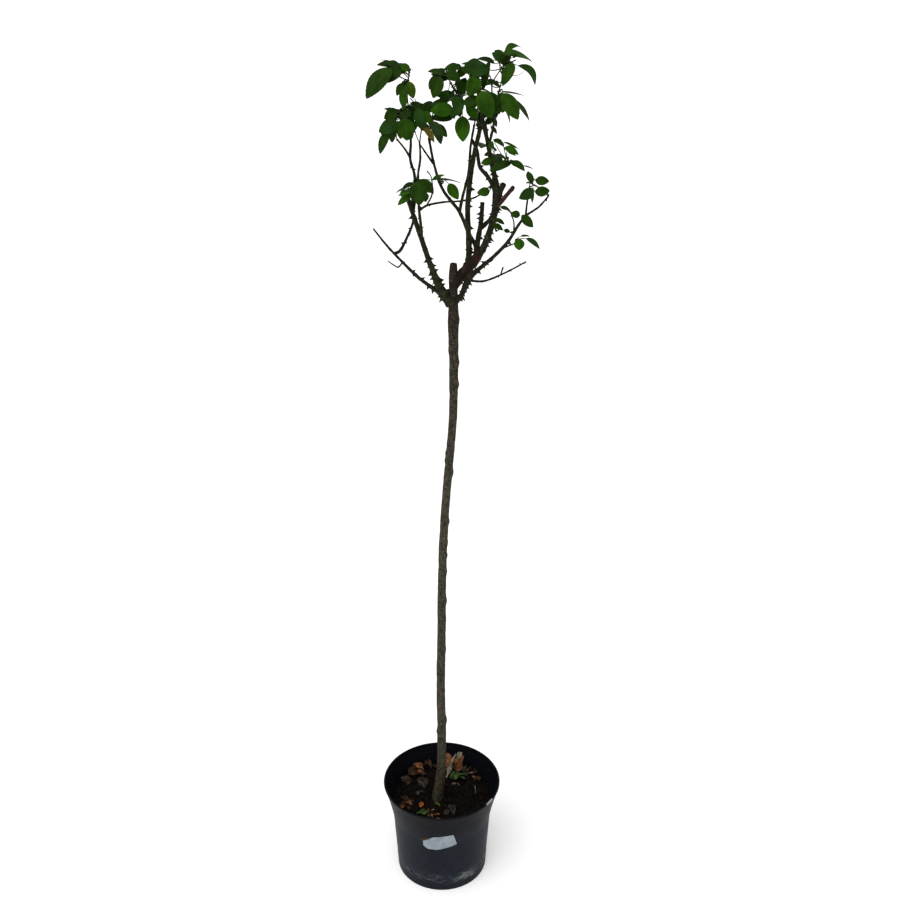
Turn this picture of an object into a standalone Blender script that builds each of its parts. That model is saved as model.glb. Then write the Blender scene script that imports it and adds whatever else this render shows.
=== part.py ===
"""A standard rose: a bush grafted on top of a bare stem, rooted in a round nursery pot.

Metres, +Z up, the origin at the centre of the pot's flat underside, the front along -Y.
Every limb is one tapering tube on a smooth route from its parent's axis to its tip.  Every
mass of leaves is one solid: a stem with leaves, each leaf a stalk with one or more leaflets.
"""
import math
import random
from collections import namedtuple

import bmesh
import bpy
from mathutils import Vector
from mathutils.bvhtree import BVHTree

MM = 0.001
UP = Vector((0, 0, 1))
GAP = 0.0003                     # air between pieces that touch

# The pot: a thin-walled turned shell with a foot, a body and a flared collar.
POT_HEIGHT = 0.184
POT_RIM_RADIUS = 0.1050
POT_COLLAR_FOOT = 0.110          # height where the flare starts
POT_BODY_TOP_RADIUS = 0.0880
POT_FOOT_HEIGHT = 0.024
POT_FOOT_RADIUS = 0.0825
POT_BASE_RADIUS = 0.0815
POT_WALL = 0.0020
POT_FLOOR = 0.0025
POT_LIP = 0.0030
POT_SIDES = 40
DRAIN_HOLES = 6
DRAIN_RADIUS = 0.0060
DRAIN_CIRCLE = 0.0520
DRAIN_TURN = math.radians(33.75)  # of the first hole, between two of the floor's edges
DRAIN_SIDES = 10

# The compost, level round the stem and a little lower at the wall.
SOIL_LEVEL = 0.138
SOIL_EDGE_DROP = 0.004
SOIL_LEVEL_RADIUS = 0.035
SOIL_CLEARANCE = 0.0004

# How finely limbs and leaves are cut into faces.
LIMB_STEP = 0.019
TRUNK_STEP = 0.045
TRUNK_SIDES = 12
TWIG_SIDES = 3
STEM_SIDES = 4

# Leaflets, as shares of their length unless they are in metres.
LEAFLET_WIDTH = 0.60
LEAFLET_MIN_THICKNESS = 0.0006
LEAFLET_THICKNESS = 0.016
LEAFLET_STALK_HALF = 0.0005
LEAFLET_BOW = 0.07
LEAFLET_FOLD = math.radians(16)
PAIR_SPACING = 0.46
PAIR_ANGLE = math.radians(64)
PAIR_SIZE = 0.88
PAIR_SIZE_STEP = 0.12
STALK_RADIUS = 0.0008
STALK_TIP_RADIUS = 0.0006
STALK_ARCH = 0.10
STALK_SWEEP = 0.12               # how far a stalk swings wide before it comes in along its leaf
LEAF_CLEARANCE = 0.0009
STEM_RADIUS = 0.0013
STEM_TAPER = 0.25                # the share of its radius that a stem loses to its tip
STEM_REACH = 0.0032              # where a stalk is well out of its stem
LEAF_TRIES = 8

# Trunk: the points of its centre line and its diameters, in millimetres.
TRUNK = {
    "route": [(-9, 0, 138), (-6, 1, 162), (-1, 2, 204), (0, 2, 300), (-1, -2, 393), (1, -3, 509),
              (2, 1, 612), (7, 3, 725), (14, 1, 816), (20, -1, 898), (20, 0, 1031), (20, 0, 1133)],
    "diameters": [20, 17, 15.5, 14.8, 14.2, 13.8, 13.4, 13.0, 12.6, 12.4, 13.6, 10.4],
}

# Limbs: parent, diameters at root and tip, extra diameter of the root collar, sides, route in mm.
# The first point of a route lies on the parent's axis.
LIMBS = {
    "left_cane": ("trunk", 8.6, 5.6, 10.0, 8,
                  [(17, 0, 1076), (3, -2, 1093), (-12, -9, 1130), (-23, -15, 1164),
                   (-35, -20, 1202), (-45, -25, 1234)]),
    "left_top_cane": ("left_cane", 4.2, 2.6, 0.8, 6,
                      [(-38, -21, 1212), (-35, -20, 1238), (-35, -16, 1264), (-41, -11, 1286),
                       (-40, -9, 1305), (-40, -11, 1324)]),
    "left_inner_cane": ("left_cane", 3.6, 2.2, 0.6, 6,
                        [(-26, -16, 1174), (-26, -25, 1190), (-29, -29, 1220), (-30, -25, 1264),
                         (-27, -6, 1286), (-28, 8, 1305)]),
    "left_side_twig": ("left_top_cane", 2.4, 1.6, 0.4, 5,
                       [(-41, -11, 1288), (-48, -14, 1300), (-59, -20, 1315)]),
    "low_left_cane": ("trunk", 6.2, 1.8, 1.8, 7,
                      [(18, 2, 1069), (-1, 8, 1087), (-33, 21, 1108), (-58, 32, 1130),
                       (-79, 42, 1150), (-100, 52, 1174)]),
    "low_left_riser": ("low_left_cane", 4.0, 2.2, 0.6, 6,
                       [(-64, 35, 1136), (-57, 38, 1146), (-50, 41, 1160), (-40, 45, 1187),
                        (-41, 46, 1212), (-41, 44, 1233)]),
    "low_left_twiglet": ("low_left_cane", 1.8, 1.0, 0.2, 5,
                         [(-57, 31, 1127), (-63, 30, 1121), (-70, 32, 1124), (-78, 35, 1129)]),
    "right_arm": ("trunk", 12.0, 11.0, 10.0, 9,
                  [(20, 0, 1101), (32, 2, 1116), (43, 3, 1128), (51, 1, 1138), (58, -2, 1149)]),
    "centre_cane": ("right_arm", 8.0, 5.4, 0.6, 8,
                    [(42, 3, 1127), (43, 9, 1150), (42, 15, 1177), (41, 22, 1217),
                     (49, 30, 1282), (59, 33, 1325)]),
    "back_left_cane": ("right_arm", 5.4, 2.8, 0.6, 6,
                       [(54, 0, 1144), (52, 13, 1158), (42, 25, 1175), (29, 33, 1203),
                        (4, 46, 1234), (-8, 54, 1267), (-16, 62, 1305)]),
    "back_left_fork": ("back_left_cane", 2.4, 1.6, 0.4, 5,
                       [(-10, 55, 1270), (-20, 51, 1285), (-28, 48, 1297)]),
    "centre_inner_cane": ("back_left_cane", 3.8, 2.4, 0.6, 6,
                          [(29, 33, 1203), (33, 37, 1222), (42, 42, 1258), (45, 45, 1296),
                           (50, 46, 1326)]),
    "right_cane": ("right_arm", 9.0, 7.4, 0.6, 8,
                   [(56, -2, 1146), (64, -10, 1161), (76, -22, 1199), (81, -30, 1225),
                    (85, -34, 1244), (90, -38, 1256)]),
    "right_top_cane": ("right_cane", 6.6, 4.8, 0.4, 7,
                       [(84, -33, 1240), (79, -35, 1261), (72, -33, 1288), (66, -28, 1317),
                        (59, -24, 1344)]),
    "crossing_cane": ("right_cane", 6.0, 3.6, 0.4, 7,
                      [(83, -32, 1239), (68, -25, 1264), (57, -15, 1276), (53, -8, 1297),
                       (46, 0, 1311)]),
    "top_fork": ("right_top_cane", 3.2, 2.2, 0.4, 6,
                 [(68, -30, 1306), (71, -35, 1318), (74, -40, 1333), (76, -44, 1349)]),
    "pruned_cane": ("right_arm", 6.2, 5.0, 0.8, 7,
                    [(53, 0, 1143), (56, 4, 1168), (60, 6, 1193), (62, 6, 1222)]),
    "back_right_cane": ("pruned_cane", 5.4, 2.0, 0.4, 6,
                        [(58, 5, 1183), (66, 6, 1190), (76, 13, 1201), (79, 22, 1223),
                         (78, 37, 1255), (73, 50, 1287)]),
    "right_outer_cane": ("trunk", 7.4, 1.8, 1.4, 8,
                         [(19, -1, 1070), (32, -8, 1086), (44, -18, 1117), (77, -35, 1152),
                          (97, -48, 1177), (109, -58, 1200), (120, -66, 1217), (138, -74, 1232),
                          (150, -77, 1247)]),
    "right_outer_shoot": ("right_outer_cane", 2.2, 1.8, 0.2, 5,
                          [(120, -66, 1217), (121, -70, 1234), (123, -74, 1251)]),
    "right_low_twig": ("right_outer_cane", 2.8, 1.6, 0.6, 6,
                       [(42, -17, 1113), (63, -14, 1111), (91, -2, 1118), (128, 18, 1132)]),
    "right_low_spur": ("right_low_twig", 1.6, 1.8, 0.0, 5, [(90, -2, 1118), (93, -4, 1129)]),
    "cut_shoot": ("right_cane", 5.2, 5.0, 0.4, 7,
                  [(80, -29, 1221), (87, -36, 1231), (103, -50, 1254)]),
    "cross_twig": ("left_inner_cane", 2.6, 1.4, 0.4, 5,
                   [(-29, -28, 1217), (-18, -32, 1225), (6, -33, 1230), (36, -31, 1232),
                    (55, -27, 1238), (70, -21, 1249)]),
    "bare_twig": ("cross_twig", 1.6, 1.0, 0.2, 5,
                  [(-18, -32, 1225), (-10, -38, 1243), (-12, -40, 1268), (-17, -40, 1274)]),
}
COLLAR_LENGTH = 0.014

# Limbs that meet a neighbour beside their parent near the root, and stay clear of it.
ALSO_CLEAR_OF = {
    "low_left_cane": ["left_cane"],
    "right_outer_cane": ["right_arm", "left_cane"],
    "crossing_cane": ["right_top_cane"],
    "pruned_cane": ["right_cane", "back_left_cane"],
}

# A single leaflet: how far along its stem its stalk starts, the leaflet's base and tip and its
# width in mm, the azimuth and elevation that its upper face looks to, and how far it bows.
Blade = namedtuple("Blade", "at base tip width azimuth elevation bow", defaults=[LEAFLET_BOW])

# A compound leaf: how far along its stem it starts, where its last leaflet's tip is in mm, its
# leaflets, their length in mm, the azimuth and elevation that their upper faces look to, and
# how high its stalk arches as a share of its reach.
Spray = namedtuple("Spray", "at tip leaflets length azimuth elevation arch",
                   defaults=[STALK_ARCH])

# Masses of leaves: bough, how far along it the stem starts (1 is its tip), the stem's route in mm
# after its root, and its leaves.
MASSES = {
    "top_left_leaves": ("left_top_cane", 1.0,
                        [(-42, -14, 1350), (-44, -12, 1375), (-42, -10, 1393), (-40, -10, 1406)], [
        Blade(0.98, (-72, -22, 1409), (-100, -30, 1370), 25, -109, 22),
        Blade(1.00, (-58, -4, 1409), (-86, -2, 1411), 15, -87, 60),
        Blade(1.00, (-50, -14, 1408), (-77, -18, 1389), 18, -103, 27),
        Blade(0.95, (-45, -2, 1403), (-66, 8, 1408), 12, -101, 48, bow=0.22),
        Blade(0.78, (-49, -22, 1389), (-58, -26, 1373), 10, -95, 17),
        Blade(0.73, (-44, -30, 1387), (-48, -34, 1355), 17, -132, 10),
        Blade(0.80, (-42, -20, 1390), (-34, -24, 1370), 12, -90, 11),
        Spray(0.42, (-30, 80, 1328), 5, 32, 80, 40),
        Spray(0.90, (-78, 44, 1406), 3, 24, 120, 50),
    ]),
    "left_leaves": ("left_side_twig", 1.0, [(-60, -24, 1330), (-61, -26, 1345)], [
        Blade(1.00, (-57, -32, 1355), (-75, -38, 1344), 14, -78, 12),
        Blade(0.85, (-57, -44, 1341), (-82, -50, 1328), 18, -82, 10),
        Blade(0.41, (-69, -40, 1327), (-81, -46, 1298), 17, -135, 24),
        Blade(0.61, (-63, -12, 1334), (-67, -8, 1308), 14, -114, -4),
        Blade(1.00, (-46, -58, 1347), (-43, -62, 1318), 21, -88, 8),
        Blade(1.00, (-58, -20, 1352), (-38, -18, 1339), 15, -82, 3),
    ]),
    "mid_left_leaves": ("left_inner_cane", 1.0, [(-26, 10, 1320), (-22, 8, 1340), (-18, 4, 1356)], [
        Blade(1.00, (-36, -8, 1366), (-17, -4, 1348), 14, -63, 16),
        Blade(0.35, (-30, -48, 1359), (-20, -50, 1329), 16, -79, 7),
        Blade(0.71, (-12, -36, 1341), (3, -44, 1311), 18, -87, 16),
        Blade(0.48, (-22, -20, 1331), (-7, -20, 1311), 13, -31, 30),
        Blade(0.90, (-33, 14, 1357), (-13, 16, 1339), 14, -54, 28),
        Spray(0.40, (-60, 58, 1322), 5, 31, 110, 50),
    ]),
    "inner_left_leaves": ("back_left_cane", 1.0, [(-13, 66, 1327), (-8, 66, 1347)], [
        Spray(0.30, (-44, 118, 1312), 5, 33, 110, 45),
        Spray(0.60, (22, 114, 1327), 5, 34, 80, 45),
        Spray(1.00, (-14, 96, 1342), 5, 28, 100, 60),
    ]),
    "back_left_leaves": ("back_left_fork", 1.0, [(-36, 52, 1315), (-43, 56, 1334)], [
        Spray(0.50, (-78, 84, 1312), 5, 32, 135, 45),
        Spray(1.00, (-76, 98, 1341), 5, 28, 125, 55),
    ]),
    "top_centre_leaves": ("centre_cane", 1.0,
                          [(46, 24, 1346), (31, 10, 1366), (19, -2, 1382), (12, -10, 1397)], [
        Blade(1.00, (12, -20, 1398), (-15, -24, 1405), 15, -59, 56),
        Blade(1.00, (7, -32, 1398), (-10, -42, 1372), 20, -82, 16, bow=0.10),
        Blade(0.79, (20, -18, 1374), (0, -14, 1377), 11, -96, 46),
        Blade(0.87, (12, -26, 1379), (3, -24, 1361), 12, -95, -4),
        Blade(1.00, (29, -12, 1409), (7, -16, 1407), 12, -86, 41),
        Blade(1.00, (11, -30, 1405), (29, -34, 1394), 14, -97, 9),
        Blade(0.81, (22, -30, 1372), (30, -34, 1353), 15, -92, 11),
        Blade(0.51, (32, -22, 1346), (33, -28, 1312), 21, -91, 10),
        Blade(0.94, (23, -20, 1393), (36, -22, 1375), 12, -74, 17),
        Blade(0.69, (19, -30, 1356), (-12, -34, 1351), 18, -84, 7),
        Blade(0.76, (11, -20, 1365), (-13, -16, 1360), 13, -120, 60),
        Blade(0.54, (19, -18, 1346), (-9, -18, 1338), 15, -113, 53),
        Spray(0.50, (24, 88, 1352), 5, 34, 105, 45),
        Spray(0.88, (6, 62, 1384), 5, 24, 100, 60),
    ]),
    "top_back_leaves": ("centre_inner_cane", 1.0, [(55, 52, 1348), (58, 56, 1370), (61, 58, 1389)], [
        Spray(0.30, (94, 110, 1337), 5, 34, 60, 45),
        Spray(0.50, (48, 128, 1366), 5, 34, 95, 50),
        Spray(0.75, (84, 98, 1378), 5, 30, 60, 60),
        Spray(1.00, (50, 84, 1404), 5, 30, 90, 75),
    ]),
    "top_front_leaves": ("right_top_cane", 1.0, [(56, -26, 1362), (52, -26, 1380), (50, -24, 1393)], [
        Blade(0.73, (56, -66, 1383), (70, -74, 1349), 23, -94, 12),
        Blade(0.44, (36, -50, 1365), (53, -54, 1346), 13, -54, 34),
        Blade(0.66, (67, -52, 1380), (82, -56, 1352), 17, -93, 7),
        Blade(1.00, (66, -50, 1411), (44, -58, 1402), 13, -84, 33),
        Blade(0.95, (65, -34, 1394), (84, -32, 1384), 11, -49, 45),
        Blade(0.59, (54, -58, 1373), (31, -62, 1366), 13, -88, 26),
        Blade(1.00, (37, -8, 1413), (66, -4, 1410), 15, -69, 66),
        Blade(1.00, (56, -20, 1410), (30, -24, 1414), 14, -65, 62),
        Blade(1.00, (30, -34, 1408), (58, -40, 1404), 15, -93, 42),
        Blade(0.75, (52, -56, 1401), (39, -60, 1376), 20, -89, 9),
        Blade(0.44, (33, -42, 1365), (16, -46, 1347), 13, -103, 23),
    ]),
    "top_right_leaves": ("top_fork", 1.0,
                         [(78, -44, 1369), (82, -42, 1384), (86, -40, 1402), (87, -38, 1417)], [
        Blade(0.45, (83, -56, 1381), (114, -56, 1377), 8, -67, 72, bow=0.02),
        Blade(0.38, (78, -66, 1379), (104, -74, 1347), 22, -68, 27),
        Blade(0.26, (81, -50, 1368), (97, -54, 1341), 17, -21, 30),
        Blade(0.33, (92, -46, 1371), (124, -44, 1343), 22, -22, 46),
        Blade(0.98, (99, -52, 1417), (86, -62, 1390), 16, -100, 24),
        Blade(0.93, (106, -36, 1413), (130, -34, 1387), 18, -32, 34, bow=0.26),
        Blade(1.00, (89, -30, 1428), (126, -26, 1417), 20, -45, 62, bow=0.12),
        Blade(1.00, (87, -44, 1424), (107, -34, 1436), 14, -103, 50, bow=0.16),
        Blade(1.00, (87, -36, 1419), (70, -36, 1429), 11, -89, 2),
        Blade(0.75, (82, -30, 1419), (100, -26, 1411), 10, -68, 21),
        Blade(0.96, (75, -46, 1416), (51, -50, 1422), 13, -58, 58),
        Blade(0.85, (69, -24, 1418), (60, -20, 1379), 12, -130, 3),
        Spray(0.30, (91, 50, 1343), 5, 30, 70, 60),
    ]),
    "upper_right_leaves": ("right_top_cane", 0.45, [(80, -42, 1281), (92, -48, 1288), (99, -50, 1290)], [
        Blade(0.79, (74, -50, 1318), (89, -52, 1309), 9, -61, 42, bow=0.15),
        Blade(0.11, (73, -44, 1315), (70, -44, 1304), 7, -94, 1),
        Blade(0.89, (89, -54, 1308), (109, -58, 1299), 12, -67, 49),
        Blade(0.87, (89, -44, 1314), (109, -44, 1305), 8, -35, 61, bow=0.03),
        Blade(0.98, (99, -50, 1287), (70, -56, 1277), 16, -105, 53),
        Blade(1.00, (98, -56, 1289), (118, -60, 1278), 12, -65, 47, bow=0.16),
        Blade(1.00, (116, -50, 1283), (130, -50, 1279), 7, -35, 71, bow=0.03),
        Blade(0.11, (73, -40, 1289), (58, -42, 1285), 10, -85, 11),
    ]),
    "right_leaves": ("right_outer_shoot", 1.0, [(124, -76, 1263), (126, -77, 1272)], [
        Blade(1.00, (123, -60, 1276), (128, -64, 1261), 8, -51, 23),
        Blade(0.83, (131, -78, 1268), (150, -80, 1267), 12, -95, 10),
        Blade(0.23, (129, -84, 1256), (109, -88, 1245), 14, -87, 14),
        Blade(0.11, (131, -76, 1252), (152, -72, 1253), 13, -80, 11),
        Blade(0.11, (130, -72, 1250), (128, -72, 1236), 7, -151, 7),
        Spray(0.35, (144, -24, 1243), 5, 22, 20, 60),
    ]),
    "right_tip_leaves": ("right_outer_cane", 0.8, [(123, -72, 1213)], [
        Blade(0.50, (114, -74, 1220), (130, -78, 1204), 12, -93, 11),
    ]),
    "right_stalk_leaves": ("right_outer_cane", 0.7, [(104, -61, 1208), (99, -63, 1222)], [
        Blade(0.79, (112, -70, 1219), (99, -70, 1222), 8, -88, 10),
        Blade(1.00, (85, -56, 1228), (99, -60, 1223), 8, -68, 61),
    ]),
    "right_low_leaves": ("right_outer_cane", 0.57, [(107, -53, 1176)], [
        Blade(1.00, (113, -60, 1184), (112, -62, 1168), 15, -94, 7),
        Blade(1.00, (122, -58, 1184), (142, -60, 1170), 13, -40, 46),
        Blade(1.00, (115, -48, 1185), (128, -48, 1185), 6, -90, 74, bow=0.03),
    ]),
    "right_inner_leaves": ("right_cane", 0.48, [(81, -33, 1189)], [
        Blade(0.90, (78, -46, 1209), (92, -48, 1202), 8, -68, 45),
        Blade(0.80, (77, -40, 1201), (90, -42, 1192), 8, -78, 27),
        Blade(1.00, (92, -30, 1190), (101, -28, 1187), 6, -75, 7),
    ]),
    "low_left_leaves": ("left_inner_cane", 0.56, [(-31, -37, 1260), (-34, -41, 1263)], [
        Blade(1.00, (-28, -54, 1263), (-28, -60, 1230), 21, -88, 10),
        Blade(0.91, (-29, -44, 1262), (-8, -50, 1244), 15, -49, 45, bow=0.20),
        Blade(1.00, (-36, -46, 1259), (-52, -50, 1251), 10, -128, 55),
        Blade(0.49, (-37, -46, 1244), (-58, -50, 1229), 13, -132, 46),
        Blade(0.94, (-39, -52, 1247), (-57, -54, 1243), 10, -130, 69),
        Blade(0.69, (-10, -42, 1262), (8, -42, 1269), 10, -124, 59),
    ]),
    "low_back_leaves": ("low_left_riser", 1.0, [(-40, 50, 1240)], [
        Spray(0.60, (-22, 96, 1206), 5, 24, 80, 45),
        Spray(1.00, (-56, 92, 1212), 5, 22, 110, 45),
    ]),
    "middle_leaves": ("back_left_cane", 0.66, [(5, 39, 1246)], [
        Blade(1.00, (-10, 26, 1251), (30, 26, 1249), 10, -65, 80, bow=0.03),
        Blade(0.30, (13, 18, 1247), (27, 14, 1225), 15, -90, 10),
    ]),
    "cross_twig_leaves": ("cross_twig", 1.0, [(73, -20, 1251)], [
        Blade(0.80, (67, -30, 1248), (53, -34, 1244), 8, -78, 14),
    ]),
    "back_right_leaves": ("back_right_cane", 1.0, [(70, 56, 1303), (69, 60, 1320)], [
        Spray(0.20, (88, 116, 1256), 3, 24, 60, 45),
        Spray(0.10, (62, 112, 1284), 5, 28, 90, 45),
        Spray(0.80, (63, 112, 1339), 5, 30, 100, 50),
    ]),
}

COLOURS = {
    "pot": ((0.020, 0.022, 0.027), 0.45),
    "soil": ((0.012, 0.009, 0.007), 0.95),
    "bark": ((0.060, 0.048, 0.034), 0.80),
    "green_bark": ((0.045, 0.048, 0.022), 0.65),
    "leaf": ((0.035, 0.090, 0.012), 0.50),
}


def remove_everything():
    for item in list(bpy.data.objects):
        bpy.data.objects.remove(item, do_unlink=True)


def make_material(name):
    colour, roughness = COLOURS[name]
    material = bpy.data.materials.new(name)
    material.use_nodes = True
    shader = material.node_tree.nodes["Principled BSDF"]
    shader.inputs["Base Color"].default_value = (*colour, 1.0)
    shader.inputs["Roughness"].default_value = roughness
    shader.inputs["Metallic"].default_value = 0.0
    return material


def make_object(name, shape, material=None):
    """A linked object from a shape, which is its points and its faces."""
    points, faces = shape
    mesh = bpy.data.meshes.new(name)
    mesh.from_pydata([tuple(point) for point in points], [], faces)
    mesh.validate()
    if material:
        mesh.materials.append(material)
    item = bpy.data.objects.new(name, mesh)
    bpy.context.scene.collection.objects.link(item)
    return item


def apply_modifiers(item):
    bpy.context.view_layer.update()
    evaluated = item.evaluated_get(bpy.context.evaluated_depsgraph_get())
    mesh = bpy.data.meshes.new_from_object(evaluated)
    item.modifiers.clear()
    item.data = mesh


def cut_away(item, cutters):
    """Takes the cutters out of the item, applies that and removes the cutters."""
    for cutter in cutters:
        cut = item.modifiers.new("clearance", "BOOLEAN")
        cut.operation = "DIFFERENCE"
        cut.object = cutter
    apply_modifiers(item)
    for cutter in cutters:
        bpy.data.objects.remove(cutter, do_unlink=True)


def keep_largest_body(item):
    """Drops the scraps that a cut leaves, so that the item is one body."""
    mesh = bmesh.new()
    mesh.from_mesh(item.data)
    unseen = set(mesh.verts)
    bodies = []
    while unseen:
        front = [unseen.pop()]
        body = set(front)
        while front:
            vertex = front.pop()
            near = {edge.other_vert(vertex) for edge in vertex.link_edges} & unseen
            unseen -= near
            body |= near
            front.extend(near)
        bodies.append(body)
    largest = max(bodies, key=len)
    scraps = [vertex for vertex in mesh.verts if vertex not in largest]
    bmesh.ops.delete(mesh, geom=scraps, context="VERTS")
    mesh.to_mesh(item.data)
    mesh.free()


def mix(first, second, share):
    return first * (1.0 - share) + second * share


def smooth_route(points, step):
    """Points about a step apart on a smooth curve through points given in millimetres."""
    through = [Vector(point) * MM for point in points]
    if len(through) == 2:
        return through
    before = through[0] * 2 - through[1]
    after = through[-1] * 2 - through[-2]
    through = [before] + through + [after]
    route = []
    for index in range(1, len(through) - 2):
        a, b, c, d = through[index - 1:index + 3]
        t_b = math.sqrt((b - a).length)
        t_c = t_b + math.sqrt((c - b).length)
        t_d = t_c + math.sqrt((d - c).length)
        pieces = max(1, round((c - b).length / step))
        for piece in range(pieces):
            t = t_b + (t_c - t_b) * piece / pieces
            ab = mix(a, b, t / t_b)
            bc = mix(b, c, (t - t_b) / (t_c - t_b))
            cd = mix(c, d, (t - t_c) / (t_d - t_c))
            abc = mix(ab, bc, t / t_c)
            bcd = mix(bc, cd, (t - t_b) / (t_d - t_b))
            route.append(mix(abc, bcd, (t - t_b) / (t_c - t_b)))
    route.append(through[-2])
    return route


def travelled(route):
    """How far along the route each of its points lies."""
    distances = [0.0]
    for first, second in zip(route, route[1:]):
        distances.append(distances[-1] + (second - first).length)
    return distances


def along(route, share):
    """The point at a share of the route's length, and the route's direction there."""
    distances = travelled(route)
    target = share * distances[-1]
    for index in range(len(route) - 1):
        if target <= distances[index + 1] or index == len(route) - 2:
            span = distances[index + 1] - distances[index]
            part = min(1.0, (target - distances[index]) / span)
            step = route[index + 1] - route[index]
            return route[index] + step * part, step.normalized()


def tube(route, radii, sides, first_axis=None, first_ring_level=False):
    """A closed tube whose rings turn with the route and don't twist."""
    points = []
    faces = []
    axis = (first_axis or route[1] - route[0]).normalized()
    side = Vector((0, -1, 0)) if abs(axis.y) < 0.9 else Vector((1, 0, 0))
    for index, centre in enumerate(route):
        if index:
            ahead = route[min(index + 1, len(route) - 1)]
            axis = (ahead - route[index - 1]).normalized()
        ring_axis = UP if index == 0 and first_ring_level else axis
        side = (side - ring_axis * side.dot(ring_axis)).normalized()
        across = ring_axis.cross(side)
        for corner in range(sides):
            turn = 2 * math.pi * corner / sides
            points.append(centre + (side * math.cos(turn) + across * math.sin(turn)) * radii[index])
    for index in range(len(route) - 1):
        for corner in range(sides):
            low = index * sides + corner
            low_next = index * sides + (corner + 1) % sides
            faces.append((low, low_next, low_next + sides, low + sides))
    faces.append(tuple(reversed(range(sides))))
    faces.append(tuple(range((len(route) - 1) * sides, len(route) * sides)))
    return points, faces


def turned(profile, sides):
    """A closed solid turned about Z from a profile of radius and height, axis to axis."""
    points = []
    faces = []
    rings = []
    for radius, height in profile:
        if radius == 0:
            rings.append([len(points)] * sides)
            points.append(Vector((0, 0, height)))
            continue
        rings.append(list(range(len(points), len(points) + sides)))
        for corner in range(sides):
            turn = 2 * math.pi * corner / sides
            points.append(Vector((radius * math.cos(turn), radius * math.sin(turn), height)))
    for low, high in zip(rings, rings[1:]):
        for corner in range(sides):
            following = (corner + 1) % sides
            quad = (low[corner], low[following], high[following], high[corner])
            faces.append(tuple(dict.fromkeys(quad)))
    return points, faces


def pot_outside():
    """The pot's outer profile, from the underside's centre to the lip."""
    flare = POT_HEIGHT - POT_LIP - POT_COLLAR_FOOT
    swell = POT_RIM_RADIUS - POT_BODY_TOP_RADIUS - 0.001
    collar = [(POT_BODY_TOP_RADIUS + swell * share ** 1.25, POT_COLLAR_FOOT + flare * share)
              for share in (0.0, 0.2, 0.45, 0.72, 1.0)]
    return [(POT_BASE_RADIUS - 0.002, 0.0), (POT_BASE_RADIUS, 0.002),
            (POT_FOOT_RADIUS, POT_FOOT_HEIGHT)] + collar


def make_pot(material):
    outside = pot_outside()
    lip_low = POT_HEIGHT - POT_LIP
    lip = [(POT_RIM_RADIUS, lip_low + 0.0006), (POT_RIM_RADIUS, POT_HEIGHT - 0.0008),
           (POT_RIM_RADIUS - 0.0010, POT_HEIGHT), (POT_RIM_RADIUS - 0.0028, POT_HEIGHT)]
    inside = [(radius - POT_WALL, max(height, POT_FLOOR)) for radius, height in outside[1:]]
    profile = [(0, 0.0)] + outside + lip + inside[::-1] + [(0, POT_FLOOR)]
    pot = make_object("pot", turned(profile, POT_SIDES), material)
    drills = []
    for hole in range(DRAIN_HOLES):
        turn = DRAIN_TURN + 2 * math.pi * hole / DRAIN_HOLES
        centre = Vector((math.cos(turn), math.sin(turn), 0)) * DRAIN_CIRCLE
        below = centre - Vector((0, 0, POT_FLOOR))
        above = centre + Vector((0, 0, 2 * POT_FLOOR))
        drills.append(make_object("drill", tube([below, above], [DRAIN_RADIUS] * 2, DRAIN_SIDES)))
    cut_away(pot, drills)


def make_soil(material):
    """Compost that fills the pot up to its level, clear of the wall all round."""
    wall = [(radius - POT_WALL - SOIL_CLEARANCE, height) for radius, height in pot_outside()[1:]]
    edge = SOIL_LEVEL - SOIL_EDGE_DROP
    bottom = POT_FLOOR + SOIL_CLEARANCE
    sides = [(radius, max(height, bottom)) for radius, height in wall if height < edge]
    last_low, first_high = [pair for pair in zip(wall, wall[1:]) if pair[1][1] >= edge][0]
    part = (edge - last_low[1]) / (first_high[1] - last_low[1])
    sides.append((last_low[0] + (first_high[0] - last_low[0]) * part, edge))
    top = [(SOIL_LEVEL_RADIUS, SOIL_LEVEL), (0, SOIL_LEVEL)]
    make_object("soil", turned([(0, bottom)] + sides + top, POT_SIDES), material)


def trunk_radius_at(distances, share):
    """The trunk's radius at a share of its length, between the stated diameters."""
    target = share * distances[-1]
    for index in range(len(distances) - 1):
        if target <= distances[index + 1] + 1e-9:
            part = (target - distances[index]) / (distances[index + 1] - distances[index])
            diameters = TRUNK["diameters"][index:index + 2]
            return (diameters[0] + (diameters[1] - diameters[0]) * part) * MM / 2


def trunk_limb():
    route = smooth_route(TRUNK["route"], TRUNK_STEP)
    route[0].z += GAP
    marks = travelled([Vector(point) * MM for point in TRUNK["route"]])
    distances = travelled(route)
    radii = [trunk_radius_at(marks, distance / distances[-1]) for distance in distances]
    top = route[-1]
    route.append(top + Vector((0, 0, 0.0022)))
    radii.append(radii[-1] * 0.72)
    return route, radii, TRUNK_SIDES


def limb(parent, root_diameter, tip_diameter, collar, sides, points):
    """The route and radii of a limb that tapers evenly from its collar to its tip."""
    route = smooth_route(points, LIMB_STEP)
    distances = travelled(route)
    radii = []
    for distance in distances:
        share = distance / distances[-1]
        plain = root_diameter + (tip_diameter - root_diameter) * share
        radii.append((plain + collar * math.exp(-distance / COLLAR_LENGTH)) * MM / 2)
    return route, radii, sides


def fattened(shape):
    """The same limb a gap larger all round, to cut its neighbours clear of it."""
    route, radii, sides = shape
    spare = GAP * 1.4
    route = list(route)
    route[0] = route[0] - (route[1] - route[0]).normalized() * spare
    route[-1] = route[-1] + (route[-1] - route[-2]).normalized() * spare
    return tube(route, [radius + spare for radius in radii], sides)


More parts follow.
